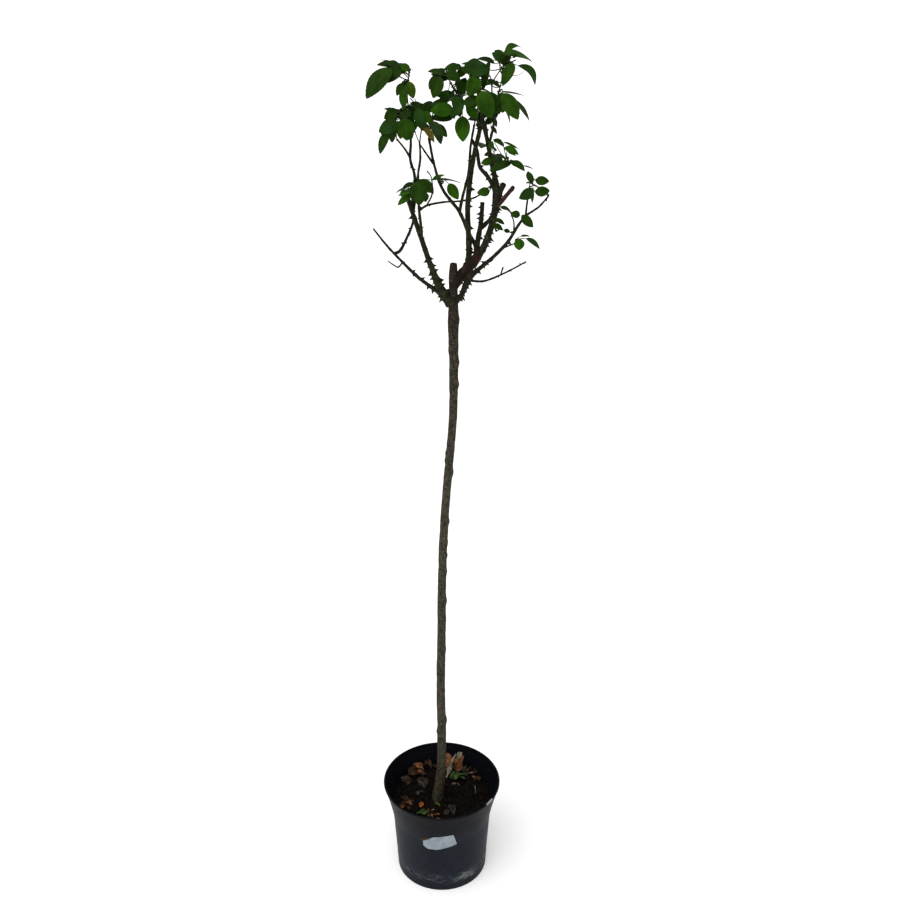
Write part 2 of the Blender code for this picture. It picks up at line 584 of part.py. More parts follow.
def make_limbs(bark, green_bark):
    """The trunk and every limb, each cut clear of its parent; returns their shapes."""
    shapes = {"trunk": trunk_limb()}
    route, radii, sides = shapes["trunk"]
    make_object("trunk", tube(route, radii, sides, first_ring_level=True), bark)
    for name, size in LIMBS.items():
        shapes[name] = limb(*size)
        item = make_object(name, tube(*shapes[name]), green_bark)
        others = [size[0]] + ALSO_CLEAR_OF.get(name, [])
        cut_away(item, [make_object("cutter", fattened(shapes[other])) for other in others])
        keep_largest_body(item)
    return shapes


def leaflet(root, heading, normal, length, half, thickness, bow):
    """A pointed leaflet, folded along its rib and bowed: three sections and a tip."""
    across = heading.cross(normal).normalized()
    sections = [(0.0, LEAFLET_STALK_HALF), (0.30, half * 0.94), (0.66, half * 0.86)]
    points = []
    for share, reach in sections:
        centre = root + heading * length * share + normal * length * bow * 4 * share * (1 - share)
        lift = normal * reach * math.sin(LEAFLET_FOLD)
        edge = across * reach * math.cos(LEAFLET_FOLD)
        points += [centre - edge + lift, centre + normal * thickness / 2,
                   centre + edge + lift, centre - normal * thickness / 2]
    points.append(root + heading * length)
    faces = [(0, 1, 2, 3)]
    for first in (0, 4):
        for corner in range(4):
            following = (corner + 1) % 4
            faces.append((first + corner, first + 4 + corner, first + 4 + following,
                          first + following))
    for corner in range(4):
        faces.append((8 + corner, 12, 8 + (corner + 1) % 4))
    return points, faces


def squared(normal, heading):
    """The part of a facing that is square to the heading."""
    return (normal - heading * normal.dot(heading)).normalized()


def facing_to(azimuth, elevation):
    azimuth, elevation = math.radians(azimuth), math.radians(elevation)
    flat = Vector((math.cos(azimuth), math.sin(azimuth), 0))
    return flat * math.cos(elevation) + UP * math.sin(elevation)


def single_leaf(root, leaf, chance):
    """The stalk's route and the one leaflet that it comes in along."""
    base = Vector(leaf.base) * MM
    along_leaf = Vector(leaf.tip) * MM - base
    heading = along_leaf.normalized()
    reach = (base - root).length
    facing = facing_to(leaf.azimuth + chance.uniform(-6, 6), leaf.elevation + chance.uniform(-5, 5))
    rise = UP * reach * STALK_ARCH * chance.uniform(0.6, 1.4)
    middle = mix(root, base, 0.5) - heading * reach * STALK_SWEEP + rise
    normal = squared(facing, heading)
    leaflet_size = (along_leaf.length, leaf.width * MM / 2, leaf.bow)
    return [root, middle, base], [(base, heading, normal, *leaflet_size)]


def compound_leaf(root, leaf, chance):
    """The stalk's route and each leaflet's root, heading, face, length, half width and bow."""
    tip = Vector(leaf.tip) * MM
    length = leaf.length * MM
    facing = facing_to(leaf.azimuth + chance.uniform(-12, 12), leaf.elevation + chance.uniform(-8, 8))
    reach = tip - root
    last = min(length / reach.length, 0.85)
    rise = UP * reach.length * leaf.arch * chance.uniform(0.6, 1.4)
    end = root + reach * (1 - last) + rise
    middle = mix(root, end, 0.5) + rise * 0.6
    stalk = [root, mix(mix(root, middle, 0.5), mix(middle, end, 0.5), 0.5), end]
    heading = (tip - end).normalized()
    sizes = [(end, heading, squared(facing, heading), (tip - end).length)]
    stalk_length = travelled(stalk)[-1]
    for pair in range((leaf.leaflets - 1) // 2):
        back = min(length * (0.14 + PAIR_SPACING * pair), stalk_length * (0.25 + 0.4 * pair))
        place, forward = along(stalk, 1 - back / stalk_length)
        normal = squared(facing, forward)
        across = forward.cross(normal)
        size = length * (PAIR_SIZE - PAIR_SIZE_STEP * pair)
        for side in (-1, 1):
            angle = PAIR_ANGLE + math.radians(chance.uniform(-10, 10))
            heading = forward * math.cos(angle) + across * side * math.sin(angle)
            heading = (heading - normal * chance.uniform(0.0, 0.30)).normalized()
            roll = normal + across * chance.uniform(-0.30, 0.30)
            real = size * chance.uniform(0.90, 1.08)
            sizes.append((place, heading, squared(roll, heading), real))
    return stalk, [(*size, size[3] * LEAFLET_WIDTH / 2, LEAFLET_BOW) for size in sizes]


def body_tree(shape):
    return BVHTree.FromPolygons([tuple(point) for point in shape[0]], shape[1])


def is_clear(shape, trees):
    own = body_tree(shape)
    return not any(own.overlap(tree) for tree in trees)


def leaf_shapes(root, leaf, chance, others, own_wood, own_blades):
    """A leaf's stalk and leaflets, from the first try that touches nothing.

    At the last try only the free leaflets are kept.  A stalk may cross its own mass's wood,
    which it is joined to, and nothing else.
    """
    for attempt in range(LEAF_TRIES):
        grow = single_leaf if isinstance(leaf, Blade) else compound_leaf
        stalk, leaflets = grow(root, leaf, chance)
        room = STALK_RADIUS + LEAF_CLEARANCE
        first = stalk[1] - stalk[0]
        outside = stalk[0] + first * min(0.4, STEM_REACH / first.length)
        test = tube([outside, stalk[1], stalk[2]], [room] * 3, TWIG_SIDES)
        free_stalk = is_clear(test, others + own_blades)
        free = []
        for place, heading, normal, length, half, bow in leaflets:
            start = place + heading * length * 0.1
            test = leaflet(start, heading, normal, length * 0.92, half + LEAF_CLEARANCE,
                           2 * LEAF_CLEARANCE, bow)
            free.append(is_clear(test, others + own_wood + own_blades))
        if free_stalk and all(free):
            break
    blades = []
    for (place, heading, normal, length, half, bow), is_free in zip(leaflets, free):
        if is_free and free_stalk:
            thickness = max(LEAFLET_MIN_THICKNESS, length * LEAFLET_THICKNESS)
            blades.append(leaflet(place, heading, normal, length, half, thickness, bow))
    wood = tube(stalk, [STALK_RADIUS, STALK_RADIUS, STALK_TIP_RADIUS], TWIG_SIDES)
    return wood if blades else None, blades


def stem_route(bough_shape, share, points):
    """The stem's route, from just clear of the bough's tip or side, and its first direction."""
    route, radii, _ = bough_shape
    first = Vector(points[0]) * MM
    if share == 1.0:
        direction = (route[-1] - route[-2]).normalized()
        start = route[-1] + direction * GAP
    else:
        foot, axis = along(route, share)
        direction = squared(first - foot, axis)
        place = share * (len(radii) - 1)
        start = foot + direction * (radii[int(place)] + 2 * GAP)
    return smooth_route([tuple(start / MM)] + points, LIMB_STEP), direction


def make_stem(mass, limb_shapes):
    """The stem of a mass, which narrows from its bough's tip: its route and its shape."""
    bough, share, points, _ = mass
    route, direction = stem_route(limb_shapes[bough], share, points)
    bough_tip = limb_shapes[bough][1][-1] if share == 1.0 else STEM_RADIUS
    radius = min(bough_tip, STEM_RADIUS)
    last = len(route) - 1
    radii = [radius * (1 - STEM_TAPER * index / last) for index in range(last + 1)]
    radii[0] = bough_tip
    return route, tube(route, radii, STEM_SIDES, first_axis=direction)


def make_mass(name, leaves, seed, stem, neighbours, material):
    """One mass, its stem and its leaves joined into one solid; returns the space they take."""
    route, stem_shape = stem
    chance = random.Random(seed)
    wood_trees = [body_tree(stem_shape)]
    blade_trees = []
    shapes = []
    for leaf in leaves:
        root, _ = along(route, leaf.at)
        wood, blades = leaf_shapes(root, leaf, chance, neighbours, wood_trees, blade_trees)
        if wood:
            shapes += [wood] + blades
            wood_trees.append(body_tree(wood))
            blade_trees += [body_tree(blade) for blade in blades]
    item = make_object(name, stem_shape, material)
    group = bpy.data.collections.new(name + "_parts")
    bpy.context.scene.collection.children.link(group)
    for shape in shapes:
        part = make_object("leaf_part", shape)
        bpy.context.scene.collection.objects.unlink(part)
        group.objects.link(part)
    join = item.modifiers.new("join", "BOOLEAN")
    join.operation = "UNION"
    join.operand_type = "COLLECTION"
    join.collection = group
    apply_modifiers(item)
    for part in list(group.objects):
        bpy.data.objects.remove(part, do_unlink=True)
    bpy.data.collections.remove(group)
    keep_largest_body(item)
    return wood_trees + blade_trees


def main():
    remove_everything()
    materials = {name: make_material(name) for name in COLOURS}
    make_pot(materials["pot"])
    make_soil(materials["soil"])
    limb_shapes = make_limbs(materials["bark"], materials["green_bark"])
    limbs = [body_tree(tube(*shape)) for shape in limb_shapes.values()]
    stems = {name: make_stem(mass, limb_shapes) for name, mass in MASSES.items()}
    taken = {name: [body_tree(shape)] for name, (_, shape) in stems.items()}
    for seed, (name, mass) in enumerate(MASSES.items()):
        others = limbs + [tree for key in taken if key != name for tree in taken[key]]
        taken[name] = make_mass(name, mass[3], seed, stems[name], others, materials["leaf"])


main()
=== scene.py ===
"""Looks of the standard rose in its pot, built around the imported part.

Sizes are in metres in the part's own frame, +Z up.  Routes and leaf sizes are in millimetres.
"""

import math
import random
from collections import namedtuple

import bmesh
import bpy
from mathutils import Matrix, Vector, noise
from mathutils.bvhtree import BVHTree


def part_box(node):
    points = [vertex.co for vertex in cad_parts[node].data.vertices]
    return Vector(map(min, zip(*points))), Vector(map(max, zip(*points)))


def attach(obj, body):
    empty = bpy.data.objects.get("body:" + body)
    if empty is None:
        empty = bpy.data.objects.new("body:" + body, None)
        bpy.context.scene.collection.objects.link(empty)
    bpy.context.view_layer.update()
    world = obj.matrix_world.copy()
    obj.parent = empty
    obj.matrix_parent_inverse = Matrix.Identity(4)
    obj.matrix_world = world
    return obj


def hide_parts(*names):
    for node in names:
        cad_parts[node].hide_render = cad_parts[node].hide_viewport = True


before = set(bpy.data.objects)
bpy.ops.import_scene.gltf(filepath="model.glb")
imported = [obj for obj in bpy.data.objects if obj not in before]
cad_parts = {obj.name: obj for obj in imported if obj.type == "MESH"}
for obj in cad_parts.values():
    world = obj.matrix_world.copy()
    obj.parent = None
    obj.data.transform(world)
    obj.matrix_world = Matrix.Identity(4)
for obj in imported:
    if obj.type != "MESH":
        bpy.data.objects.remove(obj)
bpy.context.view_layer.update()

MM = 0.001
UP = Vector((0, 0, 1))

# ---------------------------------------------------------------- sizes from the frame
POT_LOW, POT_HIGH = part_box("pot")
SOIL_LOW, SOIL_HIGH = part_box("soil")
POT_HEIGHT = POT_HIGH.z
RIM_RADIUS = POT_HIGH.x
SOIL_RADIUS = SOIL_HIGH.x
SOIL_LEVEL = SOIL_HIGH.z

# ---------------------------------------------------------------- the plant's rule
GAP = 0.0003
LIMB_STEP = 0.019
TRUNK_STEP = 0.045
TRUNK_SIDES = 12
TWIG_SIDES = 3
STEM_SIDES = 4
COLLAR_LENGTH = 0.014
LEAFLET_WIDTH = 0.60
LEAFLET_STALK_HALF = 0.0005
LEAFLET_BOW = 0.07
LEAFLET_FOLD = math.radians(16)
PAIR_SPACING = 0.46
PAIR_ANGLE = math.radians(64)
PAIR_SIZE = 0.88
PAIR_SIZE_STEP = 0.12
STALK_RADIUS = 0.0008
STALK_TIP_RADIUS = 0.0006
STALK_ARCH = 0.10
STALK_SWEEP = 0.12
LEAF_CLEARANCE = 0.0009
STEM_RADIUS = 0.0013
STEM_TAPER = 0.25
STEM_REACH = 0.0032
LEAF_TRIES = 8

# Trunk: the points of its centre line and its diameters, in millimetres.
TRUNK = {
    "route": [(-9, 0, 138), (-6, 1, 162), (-1, 2, 204), (0, 2, 300), (-1, -2, 393), (1, -3, 509),
              (2, 1, 612), (7, 3, 725), (14, 1, 816), (20, -1, 898), (20, 0, 1031), (20, 0, 1133)],
    "diameters": [20, 17, 15.5, 14.8, 14.2, 13.8, 13.4, 13.0, 12.6, 12.4, 13.6, 10.4],
}

# Limbs: parent, diameters at root and tip, extra diameter of the root collar, sides, route in mm.
# The first point of a route lies on the parent's axis.
LIMBS = {
    "left_cane": ("trunk", 8.6, 5.6, 10.0, 8,
                  [(17, 0, 1076), (3, -2, 1093), (-12, -9, 1130), (-23, -15, 1164),
                   (-35, -20, 1202), (-45, -25, 1234)]),
    "left_top_cane": ("left_cane", 4.2, 2.6, 0.8, 6,
                      [(-38, -21, 1212), (-35, -20, 1238), (-35, -16, 1264), (-41, -11, 1286),
                       (-40, -9, 1305), (-40, -11, 1324)]),
    "left_inner_cane": ("left_cane", 3.6, 2.2, 0.6, 6,
                        [(-26, -16, 1174), (-26, -25, 1190), (-29, -29, 1220), (-30, -25, 1264),
                         (-27, -6, 1286), (-28, 8, 1305)]),
    "left_side_twig": ("left_top_cane", 2.4, 1.6, 0.4, 5,
                       [(-41, -11, 1288), (-48, -14, 1300), (-59, -20, 1315)]),
    "low_left_cane": ("trunk", 6.2, 1.8, 1.8, 7,
                      [(18, 2, 1069), (-1, 8, 1087), (-33, 21, 1108), (-58, 32, 1130),
                       (-79, 42, 1150), (-100, 52, 1174)]),
    "low_left_riser": ("low_left_cane", 4.0, 2.2, 0.6, 6,
                       [(-68, 37, 1140), (-61, 39, 1143), (-55, 41, 1152), (-50, 42, 1162),
                        (-40, 45, 1187), (-41, 46, 1212), (-41, 44, 1233)]),
    "low_left_twiglet": ("low_left_cane", 1.8, 1.0, 0.2, 5,
                         [(-57, 31, 1127), (-63, 30, 1121), (-70, 32, 1124), (-78, 35, 1129)]),
    "right_arm": ("trunk", 12.0, 11.0, 10.0, 9,
                  [(20, 0, 1101), (32, 2, 1116), (43, 3, 1128), (51, 1, 1138), (58, -2, 1149)]),
    "centre_cane": ("right_arm", 8.0, 5.4, 0.6, 8,
                    [(42, 3, 1127), (43, 9, 1150), (42, 15, 1177), (41, 22, 1217),
                     (49, 30, 1282), (59, 33, 1325)]),
    "back_left_cane": ("right_arm", 5.4, 2.8, 0.6, 6,
                       [(54, 0, 1144), (52, 13, 1158), (42, 25, 1175), (29, 33, 1203),
                        (4, 46, 1234), (-8, 54, 1267), (-16, 62, 1305)]),
    "back_left_fork": ("back_left_cane", 2.4, 1.6, 0.4, 5,
                       [(-10, 55, 1270), (-20, 51, 1285), (-28, 48, 1297)]),
    "centre_inner_cane": ("back_left_cane", 3.8, 2.4, 0.6, 6,
                          [(29, 33, 1203), (33, 37, 1222), (42, 42, 1258), (45, 45, 1296),
                           (50, 46, 1326)]),
    "right_cane": ("right_arm", 9.0, 7.4, 0.6, 8,
                   [(56, -2, 1146), (64, -10, 1161), (76, -22, 1199), (81, -30, 1225),
                    (85, -34, 1244), (90, -38, 1256)]),
    "right_top_cane": ("right_cane", 6.6, 4.8, 0.4, 7,
                       [(84, -33, 1240), (79, -35, 1261), (72, -33, 1288), (66, -28, 1317),
                        (59, -24, 1344)]),
    "crossing_cane": ("right_cane", 6.0, 3.6, 0.4, 7,
                      [(83, -32, 1239), (68, -25, 1264), (57, -15, 1276), (53, -8, 1297),
                       (46, 0, 1311)]),
    "top_fork": ("right_top_cane", 3.2, 2.2, 0.4, 6,
                 [(68, -30, 1306), (71, -35, 1318), (74, -40, 1333), (76, -44, 1349)]),
    "pruned_cane": ("right_arm", 6.2, 5.0, 0.8, 7,
                    [(53, 0, 1143), (56, 4, 1168), (60, 6, 1193), (62, 6, 1222)]),
    "back_right_cane": ("pruned_cane", 5.4, 2.0, 0.4, 6,
                        [(58, 5, 1183), (66, 6, 1190), (76, 13, 1201), (79, 22, 1223),
                         (78, 37, 1255), (73, 50, 1287)]),
    "right_outer_cane": ("trunk", 7.4, 1.8, 1.4, 8,
                         [(19, -1, 1070), (31, -8, 1087), (44, -18, 1117), (77, -35, 1152),
                          (97, -48, 1177), (109, -58, 1200), (120, -66, 1217), (138, -74, 1232),
                          (150, -77, 1247)]),
    "right_outer_shoot": ("right_outer_cane", 2.2, 1.8, 0.2, 5,
                          [(120, -66, 1217), (121, -70, 1234), (123, -74, 1251)]),
    "right_low_twig": ("right_outer_cane", 2.8, 1.6, 0.6, 6,
                       [(42, -17, 1113), (63, -14, 1111), (91, -2, 1118), (128, 18, 1132)]),
    "right_low_spur": ("right_low_twig", 1.6, 1.8, 0.0, 5, [(90, -2, 1118), (93, -4, 1129)]),
    "cut_shoot": ("right_cane", 5.2, 5.0, 0.4, 7,
                  [(80, -29, 1221), (87, -36, 1231), (103, -50, 1254)]),
    "cross_twig": ("left_inner_cane", 2.6, 1.4, 0.4, 5,
                   [(-29, -28, 1217), (-18, -32, 1225), (6, -33, 1230), (36, -31, 1232),
                    (55, -27, 1238), (70, -21, 1249)]),
    "bare_twig": ("cross_twig", 1.6, 1.0, 0.2, 5,
                  [(-18, -32, 1225), (-10, -38, 1243), (-12, -40, 1268), (-17, -40, 1274)]),
}

# A leaf of one leaflet: how far along its stem its stalk starts, its base and tip in mm, its
# width in mm, the azimuth and elevation that its upper face looks to, and its bow.
Blade = namedtuple("Blade", "at base tip width azimuth elevation bow", defaults=[LEAFLET_BOW])

# A spray: how far along its stem it starts, where its last leaflet's tip is in mm, its leaflets,
# their length in mm, the azimuth and elevation that their upper faces look to, and how high its
# stalk arches as a share of its reach.
Spray = namedtuple("Spray", "at tip leaflets length azimuth elevation arch", defaults=[STALK_ARCH])

# Masses of leaves: bough, how far along it the stem starts (1 is its tip), the stem's route in mm
# after its root, and its leaves.
MASSES = {
    "top_left_leaves": ("left_top_cane", 1.0,
                        [(-42, -14, 1350), (-44, -12, 1375), (-42, -10, 1393), (-40, -10, 1406)], [
        Blade(0.98, (-64, -22, 1408), (-99, -30, 1369), 28, -119, 31),
        Blade(1.00, (-58, -4, 1409), (-86, -2, 1411), 15, -87, 60),
        Blade(1.00, (-50, -14, 1408), (-77, -18, 1389), 18, -103, 27),
        Blade(0.95, (-45, -2, 1403), (-66, 8, 1408), 12, -101, 48, bow=0.22),
        Blade(0.78, (-49, -22, 1389), (-58, -26, 1373), 10, -95, 17),
        Blade(0.73, (-44, -30, 1387), (-48, -34, 1355), 17, -132, 10),
        Blade(0.80, (-42, -20, 1391), (-35, -24, 1369), 13, -90, 10),
        Spray(0.42, (-30, 80, 1328), 5, 32, 80, 40),
        Spray(0.90, (-78, 44, 1406), 3, 24, 120, 50),
    ]),
    "left_leaves": ("left_side_twig", 1.0, [(-60, -24, 1330), (-61, -26, 1345)], [
        Blade(1.00, (-57, -32, 1355), (-75, -38, 1344), 14, -78, 12),
        Blade(0.85, (-57, -44, 1341), (-82, -50, 1328), 18, -82, 10),
        Blade(0.41, (-69, -40, 1327), (-81, -46, 1298), 17, -135, 24),
        Blade(0.61, (-63, -12, 1334), (-67, -8, 1308), 14, -114, -4),
        Blade(1.00, (-46, -58, 1347), (-43, -62, 1318), 21, -88, 8),
        Blade(1.00, (-58, -20, 1352), (-38, -18, 1339), 15, -82, 3),
    ]),
    "mid_left_leaves": ("left_inner_cane", 1.0, [(-26, 10, 1320), (-22, 8, 1340), (-18, 4, 1356)], [
        Blade(1.00, (-40, -8, 1362), (-16, -4, 1342), 16, -45, 32),
        Blade(0.35, (-30, -48, 1359), (-20, -50, 1329), 16, -79, 7),
        Blade(0.90, (-33, 14, 1357), (-13, 16, 1339), 14, -54, 28),
        Spray(0.40, (-60, 58, 1322), 5, 31, 110, 50),
    ]),
    "inner_left_leaves": ("back_left_cane", 1.0, [(-13, 66, 1327), (-8, 66, 1347)], [
        Spray(0.30, (-44, 118, 1312), 5, 33, 110, 45),
        Spray(0.60, (22, 114, 1327), 5, 34, 80, 45),
        Spray(1.00, (-14, 96, 1342), 5, 28, 100, 60),
    ]),
    "back_left_leaves": ("back_left_fork", 1.0, [(-36, 52, 1315), (-43, 56, 1334)], [
        Spray(0.50, (-78, 84, 1312), 5, 32, 135, 45),
        Spray(1.00, (-76, 98, 1341), 5, 28, 125, 55),
    ]),
    "top_centre_leaves": ("centre_cane", 1.0,
                          [(46, 24, 1346), (31, 10, 1366), (19, -2, 1382), (12, -10, 1397)], [
        Blade(1.00, (12, -20, 1398), (-15, -24, 1405), 15, -59, 56),
        Blade(0.76, (22, -18, 1372), (-4, -14, 1372), 14, -101, 42),
        Blade(0.87, (12, -26, 1379), (3, -24, 1361), 12, -95, -4),
        Blade(1.00, (29, -12, 1409), (7, -16, 1407), 12, -86, 41),
        Blade(1.00, (11, -30, 1405), (29, -34, 1394), 14, -97, 9),
        Blade(0.81, (22, -30, 1372), (30, -34, 1353), 15, -92, 11),
        Blade(0.51, (32, -22, 1346), (33, -28, 1312), 21, -91, 10),
        Blade(0.94, (23, -20, 1393), (36, -22, 1375), 12, -74, 17),
        Blade(0.69, (19, -30, 1356), (-12, -34, 1355), 18, -83, 7),
        Blade(0.76, (11, -20, 1365), (-13, -16, 1360), 13, -120, 60),
        Blade(0.54, (19, -18, 1343), (-12, -18, 1342), 16, -93, 38),
        Spray(0.50, (24, 88, 1352), 5, 34, 105, 45),
        Spray(0.88, (6, 62, 1384), 5, 24, 100, 60),
    ]),
    "top_back_leaves": ("centre_inner_cane", 1.0, [(55, 52, 1348), (58, 56, 1370), (61, 58, 1389)], [
        Spray(0.30, (94, 110, 1337), 5, 34, 60, 45),
        Spray(0.50, (48, 128, 1366), 5, 34, 95, 50),
        Spray(0.75, (84, 98, 1378), 5, 30, 60, 60),
        Spray(1.00, (50, 84, 1404), 5, 30, 90, 75),
    ]),
    "top_front_leaves": ("right_top_cane", 1.0, [(56, -26, 1362), (52, -26, 1380), (50, -24, 1393)], [
        Blade(0.73, (56, -66, 1383), (70, -74, 1349), 23, -94, 12),
        Blade(0.44, (36, -50, 1365), (53, -54, 1346), 13, -54, 34),
        Blade(0.66, (67, -52, 1380), (82, -56, 1352), 17, -93, 7),
        Blade(1.00, (66, -50, 1411), (44, -58, 1402), 13, -84, 33),
        Blade(0.95, (65, -34, 1394), (84, -32, 1384), 11, -49, 45),
        Blade(0.59, (54, -58, 1373), (31, -62, 1366), 13, -88, 26),
        Blade(1.00, (37, -8, 1413), (66, -4, 1410), 15, -69, 66),
        Blade(1.00, (56, -20, 1410), (30, -24, 1414), 14, -65, 62),
        Blade(1.00, (30, -34, 1408), (58, -40, 1404), 15, -93, 42),
        Blade(0.75, (52, -56, 1401), (39, -60, 1376), 20, -89, 9),
        Blade(0.44, (33, -42, 1365), (16, -46, 1347), 13, -103, 23),
    ]),
    "top_right_leaves": ("top_fork", 1.0,
                         [(78, -44, 1369), (82, -42, 1384), (86, -40, 1402), (87, -38, 1417)], [
        Blade(0.45, (83, -56, 1381), (114, -56, 1377), 8, -67, 72, bow=0.02),
        Blade(0.42, (84, -66, 1380), (106, -74, 1347), 21, -72, 23),
        Blade(0.26, (81, -50, 1368), (97, -54, 1341), 17, -21, 30),
        Blade(0.33, (92, -46, 1371), (124, -44, 1343), 22, -22, 46),
        Blade(0.98, (99, -52, 1417), (86, -62, 1390), 16, -100, 24),
        Blade(0.93, (106, -36, 1413), (130, -34, 1387), 18, -32, 34, bow=0.26),
        Blade(1.00, (85, -30, 1428), (126, -26, 1416), 22, -48, 61, bow=0.12),
        Blade(1.00, (88, -44, 1427), (110, -34, 1436), 13, -105, 63, bow=0.28),
        Blade(0.75, (82, -30, 1419), (100, -26, 1411), 10, -68, 21),
        Blade(0.96, (75, -46, 1416), (51, -50, 1422), 13, -58, 58),
        Blade(0.85, (69, -24, 1418), (60, -20, 1379), 12, -130, 3),
        Spray(0.30, (91, 50, 1343), 5, 30, 70, 60),
    ]),
    "upper_right_leaves": ("right_top_cane", 0.45, [(80, -42, 1281), (92, -48, 1288), (99, -50, 1290)], [
        Blade(0.79, (74, -50, 1318), (89, -52, 1309), 9, -61, 42, bow=0.15),
        Blade(0.11, (73, -44, 1315), (70, -44, 1304), 7, -94, 1),
        Blade(0.89, (89, -54, 1308), (109, -58, 1299), 12, -67, 49),
        Blade(0.87, (89, -44, 1314), (109, -44, 1305), 8, -35, 61, bow=0.03),
        Blade(0.98, (99, -50, 1287), (70, -56, 1277), 16, -105, 53),
        Blade(1.00, (98, -56, 1289), (118, -60, 1278), 12, -65, 47, bow=0.16),
        Blade(1.00, (116, -50, 1283), (130, -50, 1279), 7, -35, 71, bow=0.03),
        Blade(0.11, (73, -40, 1289), (58, -42, 1285), 10, -85, 11),
    ]),
    "right_leaves": ("right_outer_shoot", 1.0, [(124, -76, 1263), (126, -77, 1272)], [
        Blade(1.00, (121, -60, 1276), (129, -64, 1261), 9, -86, 17),
        Blade(0.83, (131, -78, 1268), (150, -80, 1267), 12, -95, 10),
        Blade(0.23, (129, -84, 1256), (109, -88, 1245), 14, -87, 14),
        Blade(0.11, (131, -76, 1252), (152, -72, 1253), 13, -80, 11),
        Blade(0.11, (130, -72, 1250), (128, -72, 1236), 7, -151, 7),
        Spray(0.35, (144, -24, 1243), 5, 22, 20, 60),
    ]),
    "right_tip_leaves": ("right_outer_cane", 0.8, [(123, -72, 1213)], [
        Blade(0.50, (114, -74, 1220), (130, -78, 1204), 12, -93, 11),
    ]),
    "right_stalk_leaves": ("right_outer_cane", 0.7, [(104, -61, 1208), (99, -63, 1222)], [
        Blade(0.79, (112, -70, 1219), (99, -70, 1222), 10, -88, 10),
        Blade(1.00, (85, -56, 1228), (99, -60, 1223), 8, -68, 61),
    ]),
    "right_low_leaves": ("right_outer_cane", 0.57, [(107, -53, 1176)], [
        Blade(1.00, (113, -60, 1184), (112, -62, 1168), 15, -94, 7),
        Blade(1.00, (122, -58, 1184), (142, -60, 1170), 13, -40, 46),
        Blade(1.00, (115, -48, 1185), (128, -48, 1185), 6, -90, 74, bow=0.03),
    ]),
    "right_inner_leaves": ("right_cane", 0.48, [(81, -33, 1189)], [
        Blade(0.90, (78, -46, 1209), (92, -48, 1202), 8, -68, 45),
        Blade(0.80, (77, -40, 1201), (90, -42, 1192), 8, -78, 27),
        Blade(1.00, (92, -30, 1190), (101, -28, 1187), 6, -75, 7),
    ]),
    "low_left_leaves": ("left_inner_cane", 0.56, [(-31, -37, 1260), (-34, -41, 1263)], [
        Blade(1.00, (-28, -54, 1263), (-28, -60, 1230), 21, -88, 10),
        Blade(0.91, (-29, -44, 1262), (-8, -50, 1244), 15, -49, 45, bow=0.20),
        Blade(1.00, (-36, -46, 1259), (-52, -50, 1251), 10, -128, 55),
        Blade(0.49, (-37, -46, 1244), (-58, -50, 1229), 13, -132, 46),
        Blade(0.94, (-39, -52, 1247), (-57, -54, 1243), 10, -130, 69),
        Blade(0.69, (-10, -42, 1262), (8, -42, 1269), 10, -124, 59),
    ]),
    "low_back_leaves": ("low_left_riser", 1.0, [(-40, 50, 1240)], [
        Spray(0.60, (-22, 96, 1206), 5, 24, 80, 45),
        Spray(1.00, (-56, 92, 1212), 5, 22, 110, 45),
    ]),
    "middle_leaves": ("back_left_cane", 0.66, [(5, 39, 1246)], [
        Blade(1.00, (-10, 26, 1251), (30, 26, 1249), 10, -65, 80, bow=0.03),
        Blade(0.30, (13, 18, 1247), (27, 14, 1225), 15, -90, 10),
    ]),
    "cross_twig_leaves": ("cross_twig", 1.0, [(73, -20, 1251)], [
        Blade(0.80, (71, -30, 1245), (53, -34, 1243), 12, -79, 12),
    ]),
    "back_right_leaves": ("back_right_cane", 1.0, [(70, 56, 1303), (69, 60, 1320)], [
        Spray(0.20, (88, 116, 1256), 3, 24, 60, 45),
        Spray(0.10, (62, 112, 1284), 5, 28, 90, 45),
        Spray(0.80, (63, 112, 1339), 5, 30, 100, 50),
    ]),
}

